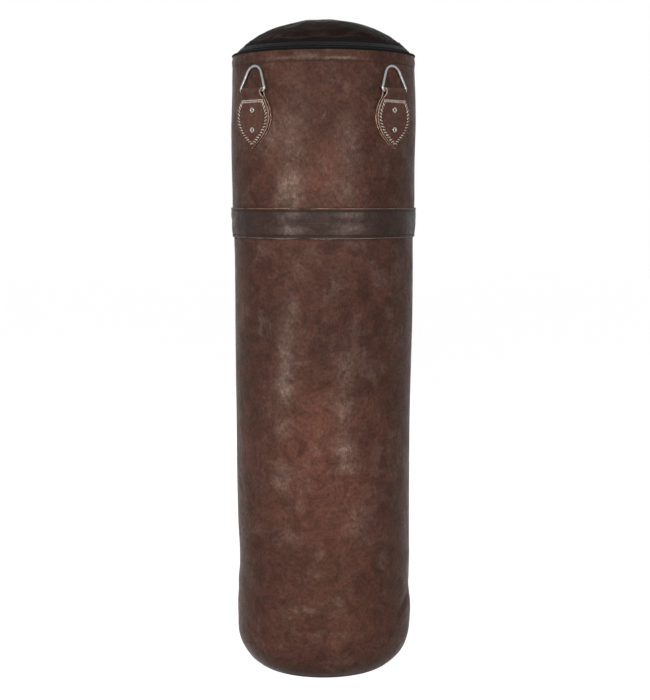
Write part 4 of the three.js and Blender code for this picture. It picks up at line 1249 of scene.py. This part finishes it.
dome_out = lid_rows * [1, 1, 0] * 2.2 + np.array([0, 0, 0.16])
dome_out = dome_out / np.linalg.norm(dome_out, axis=2, keepdims=True)
lid_shaped = lid_rows + dome_out * lift
lid_move = stuffed(lid_shaped, (0, 1), 0.022, 5.0, 0.0045)
outward = (lid_move * dome_out).sum(axis=2, keepdims=True)
lid_move = lid_move - 0.94 * outward.mean(axis=1, keepdims=True) * dome_out
lid_move = lid_move * between(in_from_edge, 0.0, 0.012)[:, :, None] * 1.5
lid_move = lid_move * between(LID_RADIUS - in_from_edge, 0.006, 0.050)[:, :, None]
lid_shift = lid_move + dome_out * lift

lid_leather = hide(
    "lid leather",
    deep=tone(11, 9, 8), brown=tone(22, 17, 15), warm=tone(48, 29, 24),
    worn=tone(96, 76, 66), raw=tone(120, 96, 84), gloss=0.05, rough=0.66, wear=0.35, relief=0.9,
)


def closed_dome(name, outer, inner, finish):
    """A dome with a thickness: from its edge over the crown, and back under to the edge."""
    top = outer[-1:].mean(axis=1, keepdims=True) + 0 * outer[-1:]
    under = inner[-1:].mean(axis=1, keepdims=True) + 0 * inner[-1:]
    rows = np.concatenate([outer, top, under, inner[::-1]])
    half = np.concatenate([LID_RADIUS * (1 - dome_share), [LID_RADIUS]])
    along = np.concatenate([half, 2 * LID_RADIUS - half[::-1], [2 * LID_RADIUS + 0.003]])
    return loft(name, rows, round_the_bag * 0.12, along, finish)


lid = closed_dome(
    "lid_leather", lid_rows + lid_shift, dome_rows(LEATHER) + lid_shift, lid_leather
)
lid_points, lid_turn, _ = points_of(lid)
lid_reach = np.hypot(lid_points[:, 0], lid_points[:, 1])
lid_rub = 0.30 * np.exp(-(((lid_reach - 0.137) / 0.007) ** 2)) * (
    0.5 + 0.5 * waves(lid_turn, 0, 6, (7, 40), (1, 2), 13)
)
# painted shade in the groove of the edge stitching
mark(
    lid, worn=lid_rub, raw=0, grime=0.5 * np.exp(-(((lid_reach - 0.1449) / 0.0012) ** 2)),
    rosy=0.55 * np.exp(-(((lid_reach - 0.130) / 0.02) ** 2)) * (0.6 + 0.4 * np.cos(2 * lid_turn)),
)
ride(lid, "lid", "lid_leather", "lid_panel")

edge_row = 5
lid_line = (lid_rows + lid_shift)[edge_row]
lid_thread = bead_seam(
    "lid_stitching", [(lid_line + dome_out[edge_row] * 0.0001, dome_out[edge_row], True)],
    0.0029, 0.00042, 0.0034, dark_thread,
)
ride(lid_thread, "lid", "lid_leather")

f = Finish("padding foam")
bubbles = f.cells(f.here, 520)
cloudy = f.noise(f.here, 40, 4, 0.6)
foam = f.over(f.scale_to(cloudy, 0.35, 0.65), tone(52, 53, 56), tone(76, 77, 80))
foam = f.over(f.scale_to(bubbles, 0.0, 0.5, 0.45, 0), foam, tone(26, 26, 28))
f.set(
    Base_Color=foam, Roughness=f.scale_to(cloudy, 0.3, 0.7, 0.86, 0.97), Specular_IOR_Level=0.15,
    Normal=f.relief(f.scale_to(bubbles, 0, 0.5), 0.0006),
)
padding_foam = f.material


def ring_row(radius, height, uneven=0.0, seed=1):
    """A row round the bag at one radius and height, a little uneven if it is cut by hand."""
    reach = radius - uneven * (1 + waves(azimuths, 0, 7, (2, 15), (1, 2), seed)) / 2
    return turned(reach, azimuths, height)


def rounded_solid(name, rows, finish):
    """A stuffed piece turned about the bag's axis, closed at the top and bottom."""
    rows = np.array(rows)
    rows = np.concatenate([rows[:1] * [0, 0, 1], rows, rows[-1:] * [0, 0, 1]])
    return loft(name, rows, round_the_bag * 0.12, walked(rows[:, 0]), finish, looped=False)


pad_rows = (dome_rows(LEATHER + LIE) + lid_move + dome_out * np.minimum(lift, 0))[1:]
pad_rows = [
    ring_row(0.070, 1.16787), ring_row(0.1370, 1.16787, 0.0006, 3), ring_row(0.1385, 1.1685),
    ring_row(0.1386, 1.1700), *[r for r in pad_rows if r[:, 2].min() > 1.1712],
]
lid_pad = rounded_solid("lid_padding", pad_rows, padding_foam)
ride(lid_pad, "lid", "padding_foam", "lid_pad")


def canvas(name, light, shade, threads):
    """Unbleached cotton canvas: threads over and under, slubs and handling marks."""
    f = Finish(name)
    weave = f.sum("MAXIMUM", *(f.bands(threads, 0.31, way, 0.6) for way in "XY"))
    slub = f.noise(f.stretch(f.flat, (60, 900, 1)), 1, 4, 0.7)
    marks = f.noise(f.here, 17, 5, 0.65)
    cloth = f.over(f.scale_to(marks, 0.35, 0.70), light, shade)
    cloth = f.over(f.scale_to(slub, 0.48, 0.7, 0, 0.5), cloth, light)
    cloth = f.over(f.scale_to(weave, 0.2, 0.8, 0.42, 0), cloth, (0.05, 0.045, 0.04, 1))
    f.set(
        Base_Color=cloth, Roughness=f.scale_to(marks, 0.3, 0.7, 0.84, 0.95),
        Specular_IOR_Level=0.18, Normal=f.relief(weave, 0.00030, f.relief(slub, 0.0004)),
    )
    return f.material


lining_canvas = canvas("lining canvas", tone(150, 142, 126), tone(116, 108, 94), 1400)

low, high = 1.16632, 1.16748
lid_lining_rows = [ring_row(radius, low) for radius in (0.03, 0.07, 0.11)]
for radius, level in ((0.1396, low), (0.14, (low + high) / 2), (0.1396, high)):
    lid_lining_rows.append(ring_row(radius, level, 0.0003, 5))
lid_lining_rows += [ring_row(radius, high) for radius in (0.11, 0.07, 0.03)]
lid_canvas = rounded_solid("lid_canvas", lid_lining_rows, lining_canvas)
ride(lid_canvas, "lid", "lining_canvas", "lid_lining")

# ------------------------------------------------------------------------------------------------
# Inside the wall: a canvas lining, a webbing belt that the rivets clench on, a wrap of closed-cell
# foam, a foam disc in the base, and textile scraps rammed in to the top.

LINING_OUT, LINING_IN = LEATHER + LIE, 0.00455
lining_course = span(0, 1.1276)
lining_rows = np.array(
    [
        ring_row(0.0, LINING_OUT), ring_row(0.05, LINING_OUT), *layer(lining_course, LINING_OUT),
        *layer(lining_course[::-1][::3], LINING_IN), ring_row(0.05, LINING_IN),
        ring_row(0.0, LINING_IN),
    ]
)
wall_canvas = loft(
    "wall_canvas", lining_rows, round_the_bag * MEAN_RADIUS, walked(lining_rows[:, 0]),
    lining_canvas, looped=False,
)
ride(wall_canvas, "bag", "lining_canvas", "wall_lining")

f = Finish("belt webbing")
ribs = f.bands(700, 0.5, "X")
fuzz = f.noise(f.here, 500, 4, 0.7)
web = f.over(f.scale_to(fuzz, 0.4, 0.7), tone(34, 34, 34), tone(62, 61, 58))
web = f.over(f.scale_to(ribs, 0, 1, 0.4, 0), web, tone(14, 14, 14))
f.set(
    Base_Color=web, Roughness=f.scale_to(fuzz, 0.3, 0.7, 0.78, 0.92), Specular_IOR_Level=0.2,
    Normal=f.relief(ribs, 0.0005, f.relief(fuzz, 0.0003)),
)
belt_webbing = f.material
belt_out = span(1.000, 1.061)
belt = shell("webbing_belt", belt_out, 0.0049, belt_out[::-1], 0.0079, belt_webbing)
ride(belt, "bag", "belt_webbing", "inner_belt")

foam_out = np.concatenate([span(0.04227, 0.99965)[::2], span(0.99975, 1.148)])
foam_inset = np.where(foam_out < 0.9997, 0.0049, 0.01225)
foam_rows = np.array([
    *layer(foam_out, foam_inset), ring_row(0.1545, 1.1478, 0.001, 6), ring_row(0.1502, 1.1470, 0.0, 6),
    ring_row(0.1500, 0.90), ring_row(0.1500, 0.50), ring_row(0.150, 0.05235), ring_row(0.128, 0.03037),
])
foam_wrap = loft(
    "foam_lining", foam_rows, round_the_bag * 0.16, walked(foam_rows[:, 0], 1.2), padding_foam
)
ride(foam_wrap, "bag", "padding_foam", "foam_wrap")

disc_course = span(0.0, 0.0418)
base_pad = rounded_solid(
    "base_padding",
    [ring_row(0.05, 0.0049), *layer(disc_course, 0.0049), ring_row(0.135, 0.02996, 0.0004, 8),
     ring_row(0.07, 0.02998)],
    padding_foam,
)
ride(base_pad, "bag", "padding_foam", "bottom_pad")

f = Finish("rag filling")
scraps = f.node("ShaderNodeTexVoronoi", feature="F1")
f.put(scraps.inputs["Vector"], f.stretch(f.here, (30, 30, 46)))
scraps.inputs["Scale"].default_value = 1
tint = f.node("ShaderNodeSeparateColor")
f.put(tint.inputs["Color"], scraps.outputs["Color"])
rumple = f.noise(f.stretch(f.here, (160, 160, 500)), 1, 4, 0.7)
rags = f.over(f.scale_to(tint.outputs["Red"], 0.3, 0.7), tone(132, 128, 120), tone(94, 100, 112))
rags = f.over(f.scale_to(tint.outputs["Green"], 0.6, 0.9), rags, tone(134, 96, 84))
# painted shade: darker along the sunken edges between the scraps, and in the creases of the rumple
# below
rags = f.over(f.scale_to(scraps.outputs["Distance"], 0.3, 0.8, 0, 0.75), rags, tone(34, 32, 32))
rags = f.over(f.scale_to(rumple, 0.35, 0.6, 0.35, 0), rags, tone(60, 57, 54))
f.set(
    Base_Color=rags, Roughness=f.scale_to(rumple, 0.3, 0.7, 0.88, 1.0), Specular_IOR_Level=0.1,
    Normal=f.relief(scraps.outputs["Distance"], -0.006, f.relief(rumple, 0.0012)),
)
rag_filling = f.material
rag_rows = [ring_row(0.06, 0.0304), ring_row(0.1276, 0.0304), ring_row(0.1494, 0.0530)]
rag_rows += [ring_row(0.1494, z, 0.001, 9) for z in np.linspace(0.12, 1.140, 16)]
rag_rows += [ring_row(0.1494, 1.1478, 0.001, 9), ring_row(0.1398, 1.1522, 0.001, 9)]
for reach in np.linspace(0.1385, 0.008, 40):
    x, y, _ = turned(reach, azimuths, 0).T
    lumps = np.sin(52 * x + 9 * y + 2 * np.sin(31 * y)) * np.sin(43 * y - 14 * x + 1.7 * np.sin(37 * x))
    creased = np.abs(np.sin(96 * x + 40 * y + 3 * np.sin(44 * y + 1)))
    level = 1.1610 + 0.0026 * lumps - 0.0030 * (1 - creased) ** 2
    level = 1.1530 + (level - 1.1530) * min(1, (0.1398 - reach) / 0.010)
    rag_rows.append(np.stack([x, y, np.minimum(level, 1.1656)], axis=1))
filling = rounded_solid("rag_stuffing", rag_rows, rag_filling)
ride(filling, "bag", "rag_filling", "textile_filling")

# ------------------------------------------------------------------------------------------------
# The hinge strip: a leather tongue sewn to the wall and to the lid at the back, between the zip's
# two ends.

TONGUE_HALF = 0.0160
TONGUE_THICK = 0.0022
TONGUE_SEWN = 0.78  # the stitches' share of the half width
TONGUE_FALL = 0.00096  # how far its edges follow the bag's round
hinge_path = []
for level in (1.1242, 1.134, 1.144, 1.1495):
    radius = float(wall_place(np.array([level]), 0.0)[0][0]) + 0.0009
    hinge_path.append((radius, level))
for up in np.linspace(0, 1, 7)[1:]:
    hinge_path.append((0.1692 - 0.0211 * up, 1.1526 + 0.0177 * up))
for share in (0.985, 0.967, 0.947, 0.925, 0.905):
    hinge_path.append((LID_RADIUS * share + 0.0016, LID_EDGE + dome_rise(share) + 0.0012))
hinge_path = np.array(hinge_path)
run = np.gradient(hinge_path, axis=0)
run /= np.linalg.norm(run, axis=1, keepdims=True)
side_out = np.stack([run[:, 1], -run[:, 0]], axis=1)
hinge_across = np.array([-1, -0.985, -0.9, -0.78, -0.4, 0, 0.4, 0.78, 0.9, 0.985, 1])
hinge_loops = []
for lift, order in ((TONGUE_THICK, 1), (0.0, -1)):
    x = TONGUE_HALF * hinge_across
    sunk = -0.00035 * np.exp(-(((np.abs(hinge_across) - TONGUE_SEWN) / 0.09) ** 2)) * (lift > 0)
    rounding = np.where(np.abs(hinge_across) == 1, 0.0006, 0.0) if lift else 0 * x
    reach = hinge_path[:, None, :] + side_out[:, None, :] * (lift + sunk - rounding)[None, :, None]
    fall = TONGUE_FALL * hinge_across**2
    face = np.stack(
        [x[None] + 0 * reach[:, :, 0], reach[:, :, 0] - fall[None], reach[:, :, 1]], axis=2
    )
    hinge_loops.append(face[:, ::order])
hinge_rows = np.concatenate(hinge_loops, axis=1).transpose(1, 0, 2)
hinge = loft(
    "hinge_tongue", hinge_rows, np.cumsum(np.full(len(hinge_path), 0.004)),
    walked(hinge_rows[:, 0], TONGUE_THICK), lid_leather, around=False,
)
hinge_edge = TONGUE_HALF - np.abs(points_of(hinge)[0][:, 0])
# painted shade along the grooves of the two stitch lines
mark(
    hinge, worn=0.3, rosy=0.1, raw=(hinge_edge < 0.0005) * 0.8,
    grime=0.5 * np.exp(-(((hinge_edge - 0.004) / 0.0014) ** 2)),
)
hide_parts("lid_hinge_strip")
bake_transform(hinge)
hinge_lines = []
for side in (-1, 1):
    x = side * TONGUE_SEWN * TONGUE_HALF
    reach = hinge_path + side_out * (TONGUE_THICK - 0.0001)
    fall = TONGUE_FALL * TONGUE_SEWN**2
    line = np.stack([np.full(len(reach), x), reach[:, 0] - fall, reach[:, 1]], axis=1)
    out = np.stack([0 * reach[:, 0], side_out[:, 0], side_out[:, 1]], axis=1)
    hinge_lines.append((line, out, False))
hinge_thread = bead_seam("hinge_stitching", hinge_lines, 0.0030, 0.00042, 0.0034, dark_thread)
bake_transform(hinge_thread)

# ------------------------------------------------------------------------------------------------
# The hanging tabs: a strap of thick leather folded round the ring's bar, its two leaves sewn together
# with heavy pale thread by the awl, slanting stitch by stitch, and riveted through the wall. The cut
# edges are left raw and pale.

TAB_SEAT, BAR_HEIGHT = 0.172517, 1.081
STRAP = 0.0032
BAR_OFF = 0.0062
TAB_POINT = 0.101
MEET = 0.015
STITCH_IN = 0.0068
FRONT_FACE = 2 * STRAP + LIE
RIVET_DROPS = (0.033, 0.068)
RING_WIRE = 0.0025

tab_leather = hide(
    "tab leather",
    deep=tone(66, 42, 34), brown=tone(92, 61, 50), warm=tone(106, 68, 55),
    worn=tone(150, 122, 108), raw=tone(228, 192, 168), gloss=0.08, rough=0.40, wear=0.6, relief=0.45,
)


def bezier(a, b, c, d, count):
    """Points of a curve from a to d that leaves towards b and arrives from c."""
    t = np.linspace(0, 1, count)[:, None]
    a, b, c, d = (np.array(p, float) for p in (a, b, c, d))
    return a * (1 - t) ** 3 + 3 * b * t * (1 - t) ** 2 + 3 * c * t**2 * (1 - t) + d * t**3


leaf_edge = np.concatenate(
    [
        bezier((0.0250, -0.0075), (0.03444, -0.0165), (0.041, -0.033), (0.041, -0.047), 30),
        bezier((0.041, -0.047), (0.041, -0.067), (0.0205, -0.089), (0.0, -0.101), 50)[1:],
    ]
)


def leaf_width(height):
    """Half the leaf's width at a height from the bar."""
    return np.interp(-height, -leaf_edge[:, 1], leaf_edge[:, 0], left=0.025, right=0.0)


def strap_line():
    """The middle of the strap's thickness, from the back leaf's point over the bar to the front's:
    out from the seat, height from the bar, and the way the strap's outer face looks."""
    low = -TAB_POINT * (1 - np.linspace(0, 1, 44) ** 2)
    back = np.stack([np.full(len(low), STRAP / 2), low], axis=1)
    round_bar = np.linspace(math.pi, 0, 19)[1:]
    mid = RING_WIRE + 0.0005 + STRAP / 2
    loop = np.stack([BAR_OFF + mid * np.cos(round_bar), mid * np.sin(round_bar)], axis=1)
    front_out = FRONT_FACE - STRAP / 2
    neck = bezier(
        (BAR_OFF + mid, 0), (BAR_OFF + mid, -MEET / 2), (front_out, -MEET / 2), (front_out, -MEET), 14
    )[1:]
    down = -MEET - (TAB_POINT - MEET) * np.linspace(0, 1, 44)[1:] ** 0.62
    front = np.stack([np.full(len(down), front_out), down], axis=1)
    line = np.concatenate([back, loop, neck, front])
    way = np.gradient(line, axis=0)
    way /= np.linalg.norm(way, axis=1, keepdims=True)
    return line, np.stack([-way[:, 1], way[:, 0]], axis=1)


def curl(x, height):
    """How far the stiff leaf bends back round the wall, which it meets less closely at its sides."""
    return (x**2 / 0.85) * between(-height, 0.004, 0.040)


def hang(x, out, height, azimuth, stray=0.0018):
    """Places points from the tab's own frame on the bag: across, out from the seat, and height."""
    turn = math.radians(azimuth)
    outside = 1 if azimuth in (45, 135) else -1
    sewn_on = between(-height, 0.012, 0.030)
    x = x * (1 + 0.05 * sewn_on) + stray * outside * math.copysign(1, math.cos(turn)) * sewn_on
    reach = TAB_SEAT + out
    across = np.stack([x * math.cos(turn), x * math.sin(turn), 0 * x], axis=-1)
    return across + turned(reach, turn, BAR_HEIGHT + height)


def tab_rows(azimuth, seed):
    """The strap's rows round its own girth: outer face, one edge, inner face and the other edge."""
    line, face = strap_line()
    girth = [(s, 1.0) for s in np.sin(np.linspace(-1, 1, 25) * math.pi / 2)]
    girth[0], girth[-1] = (-0.985, 1.0), (0.985, 1.0)
    girth += [(1.0, 0.55), (1.0, -0.55), (0.985, -1.0)]
    girth += [(s, -1.0) for s in np.linspace(0.9, -0.9, 13)]
    girth += [(-0.985, -1.0), (-1.0, -0.55), (-1.0, 0.55)]
    rows, shade_rows = [], []
    count = len(line)
    leaf = np.where(np.arange(count) > count // 2, -0.0008, 0.0006)
    width = np.maximum(leaf_width(line[:, 1]) + leaf, 0.0011)
    cut = 0.00022 * waves(0, line[:, 1], 8, (0, 0), (0.008, 0.05), seed)
    width = width + cut * (width > 0.004)
    for share, side in girth:
        x = share * width
        dent = 0 * x
        # painted shade: the inner face, which lies against the wall, is marked dark in full
        tab_shade = 0 * x + (side < -0.9)
        if side == 1.0:
            from_line = np.abs((width - np.abs(x)) - STITCH_IN)
            sewn = (line[:, 0] > STRAP) & (line[:, 1] < -MEET)
            dent = -0.00055 * np.exp(-((from_line / 0.0017) ** 2)) * sewn
            # painted shade in the groove along the stitch line
            tab_shade = 0.75 * np.exp(-((from_line / 0.0022) ** 2)) * sewn
            dent = dent - 0.0005 * np.exp(-(((line[:, 1] + 0.0172) / 0.0016) ** 2)) * sewn
            for drop in RIVET_DROPS:
                off = np.hypot(x, line[:, 1] + drop)
                dent = dent - 0.0003 * np.exp(-((off / 0.0075) ** 4)) * sewn
        lean = between(np.abs(x) - width, -0.0050, -0.0004) * (line[:, 1] < -MEET * 0.7)
        skived = np.where((line[:, 0] > STRAP) == (side < 0), 0.0014, 0.0) * lean
        half = (STRAP / 2 - skived) * side + dent
        out = line[:, 0] + face[:, 0] * half - curl(x, line[:, 1])
        height = line[:, 1] + face[:, 1] * half
        rows.append(hang(x, out, height, azimuth))
        shade_rows.append(tab_shade)
    return np.array(rows), girth, line, np.concatenate(shade_rows)


for place, azimuth in TABS.items():
    rows, girth, line, tab_shade = tab_rows(azimuth, 200 + azimuth)
    tab = loft(
        f"tab_strap_{place}", rows, walked(line), walked(rows[:, 60], 0.003), tab_leather,
        around=False,
    )
    count = rows.shape[1]
    flat_rows = rows.reshape(-1, 3)
    side_share = np.repeat([abs(s) for s, _ in girth], count)
    edge_raw = (side_share > 0.99) * 1.0
    tip = np.tile((np.arange(count) < 1) | (np.arange(count) >= count - 1), len(girth))
    raw = np.maximum(edge_raw, tip * 1.0)
    points, _, _ = points_of(tab)
    grid = {tuple(np.round(p, 6)): r for p, r in zip(flat_rows, zip(raw, tab_shade))}
    kept, tab_shading = np.array([grid.get(tuple(np.round(p, 6)), (0.0, 0.0)) for p in points]).T
    below = points[:, 2] - BAR_HEIGHT
    # painted shade along the stitch grooves, on the inner face and just below the ring's bar
    mark(
        tab, raw=kept, worn=0.22, rosy=0.25,
        grime=tab_shading + 0.25 * np.exp(-(((below + 0.006) / 0.006) ** 2)),
    )
    ride(tab, "bag", "tab_leather", f"tab_{place}")


def stitch_line(inset):
    """Half of the sewn line inside the leaf's edge, from the top line down to the point."""
    way = np.gradient(leaf_edge, axis=0)
    way /= np.linalg.norm(way, axis=1, keepdims=True)
    inner = leaf_edge + inset * np.stack([way[:, 1], -way[:, 0]], axis=1)
    return inner[(inner[:, 0] > 0.0004) & (inner[:, 1] < -0.0185)]


side_line = stitch_line(STITCH_IN)
cross = np.linspace(-side_line[0, 0], side_line[0, 0], 24)
sewn_lines = {
    "left": (-side_line[:, 0], side_line[:, 1]), "right": (side_line[:, 0], side_line[:, 1]),
    "upper": (cross, np.full(24, -0.0162)), "lower": (cross, np.full(24, -0.0190)),
}


def on_tabs(x, height):
    """One line of stitching on the front leaf of all four tabs."""
    lie = FRONT_FACE - curl(x, height) - 0.0001
    return [(hang(x, lie, height, a), turned(1, math.radians(a), 0), False) for a in TABS.values()]


for name, line, slant, long, pitch in (
    ("tab_saddle_left", "left", 0.85, 0.0076, 0.0059),
    ("tab_saddle_right", "right", -0.85, 0.0076, 0.0059),
    ("tab_cross_upper", "upper", 0.35, 0.0046, 0.0045),
    ("tab_cross_lower", "lower", -0.35, 0.0046, 0.0045),
):
    lines = on_tabs(*sewn_lines[line])
    sewn = bead_seam(name, lines, long, 0.00115, pitch, pale_thread, slant, 0.10, 21)
    ride(sewn, "bag", "tab_leather")

# ------------------------------------------------------------------------------------------------
# The rivets: tubular steel rivets with a domed rolled rim and an open bore, two in each tab, set from
# the front and clenched on washers behind the webbing belt.

rivet_steel = metal("rivet steel", tone(150, 148, 143), tone(66, 62, 58), 0.22, 0.6)
RIVET_TAIL, RIVET_HEAD = -0.01115, FRONT_FACE + 0.0002


def rivet_shape():
    """One rivet turned about its own axis, z out of the bag, from the seat of the tabs' backs."""
    bore, tube, head, tail = 0.0021, 0.0029, 0.0053, 0.0050
    profile = [(bore, RIVET_TAIL + 0.0004), (bore + 0.0005, RIVET_TAIL), (tail - 0.0006, RIVET_TAIL)]
    profile += [(tail, RIVET_TAIL + 0.0006), (tail - 0.0004, RIVET_TAIL + 0.0013)]
    profile += [(tube, RIVET_TAIL + 0.0014)]
    profile += [(tube, RIVET_HEAD), (head - 0.0002, RIVET_HEAD), (head, RIVET_HEAD + 0.0003)]
    for a in np.linspace(0.15, math.pi - 0.5, 7):
        profile.append((0.0038 + 0.00150 * math.cos(a), RIVET_HEAD + 0.0001 + 0.0016 * math.sin(a)))
    profile += [(bore + 0.0001, RIVET_HEAD + 0.0007), (bore, RIVET_HEAD - 0.0006)]
    a = circle(24)
    rings = [
        np.stack([radius * np.cos(a), radius * np.sin(a), level + 0 * a], axis=1)
        for radius, level in profile
    ]
    return small_shape("rivet_shape", rings)


rivet_lines = [
    (
        hang(np.zeros(2), np.zeros(2), -np.array(RIVET_DROPS), a, stray=0),
        turned(1, math.radians(a), 0), False,
    )
    for a in TABS.values()
]
rivets = lay("tubular_rivets", rivet_lines, rivet_shape(), rivet_steel, 0.035, 0.0, 0.2, 2)
ride(
    rivets, "bag", "rivet_steel",
    *[f"rivet_{place}_{level}" for place in TABS for level in ("upper", "lower")],
)
for place in TABS:
    for level in ("upper", "lower"):
        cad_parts[f"washer_{place}_{level}"].material_slots[0].material = rivet_steel

# ------------------------------------------------------------------------------------------------
# The hanging rings: 5 mm steel wire bent to a rounded triangle and butt welded in the bar. Each
# swings in its tab's loop, and rests leaning in on the wall.

ring_steel = metal("ring steel", tone(158, 160, 161), tone(84, 84, 84), 0.24, 0.5)


def half_ring():
    """The middle of the wire from the bar's middle up to the apex: across and up."""
    corner, apex = np.array([0.0255, 0.005]), np.array([0.0, 0.025])
    run = apex - corner
    spread = math.acos((0.005 - 0.020) / np.linalg.norm(run))
    lean = math.atan2(run[1], run[0]) - spread
    first = np.linspace(-math.pi / 2, lean, 14)
    last = np.linspace(lean, math.pi / 2, 18)
    bend = corner + 0.005 * np.stack([np.cos(first), np.sin(first)], 1)
    crown = apex + 0.020 * np.stack([np.cos(last), np.sin(last)], 1)
    side = bend[-1] + (crown[0] - bend[-1]) * np.linspace(0, 1, 8)[1:-1, None]
    return np.concatenate([[[0, 0], [0.008, 0], [0.017, 0]], bend, side, crown])


half = half_ring()
ring_flat = np.concatenate([half, (half * [-1, 1])[::-1][1:-1]])
apex_wall = float(np.interp(1.126, [1.027, RIM], [0.1730, 0.1695])) * math.cos(math.pi / 32)
ring_lean = math.asin((TAB_SEAT + BAR_OFF - (apex_wall + LIE + RING_WIRE)) / 0.045)
for place, azimuth in TABS.items():
    line = hang(
        ring_flat[:, 0], BAR_OFF - ring_flat[:, 1] * math.sin(ring_lean),
        ring_flat[:, 1] * math.cos(ring_lean), azimuth,
    )
    out = turned(1, math.radians(azimuth), 0)
    ring = rod(f"steel_ring_{place}", [(line, out, True)], RING_WIRE, 20, ring_steel)
    ride(ring, f"ring_{place}", "ring_steel", f"ring_{place}")
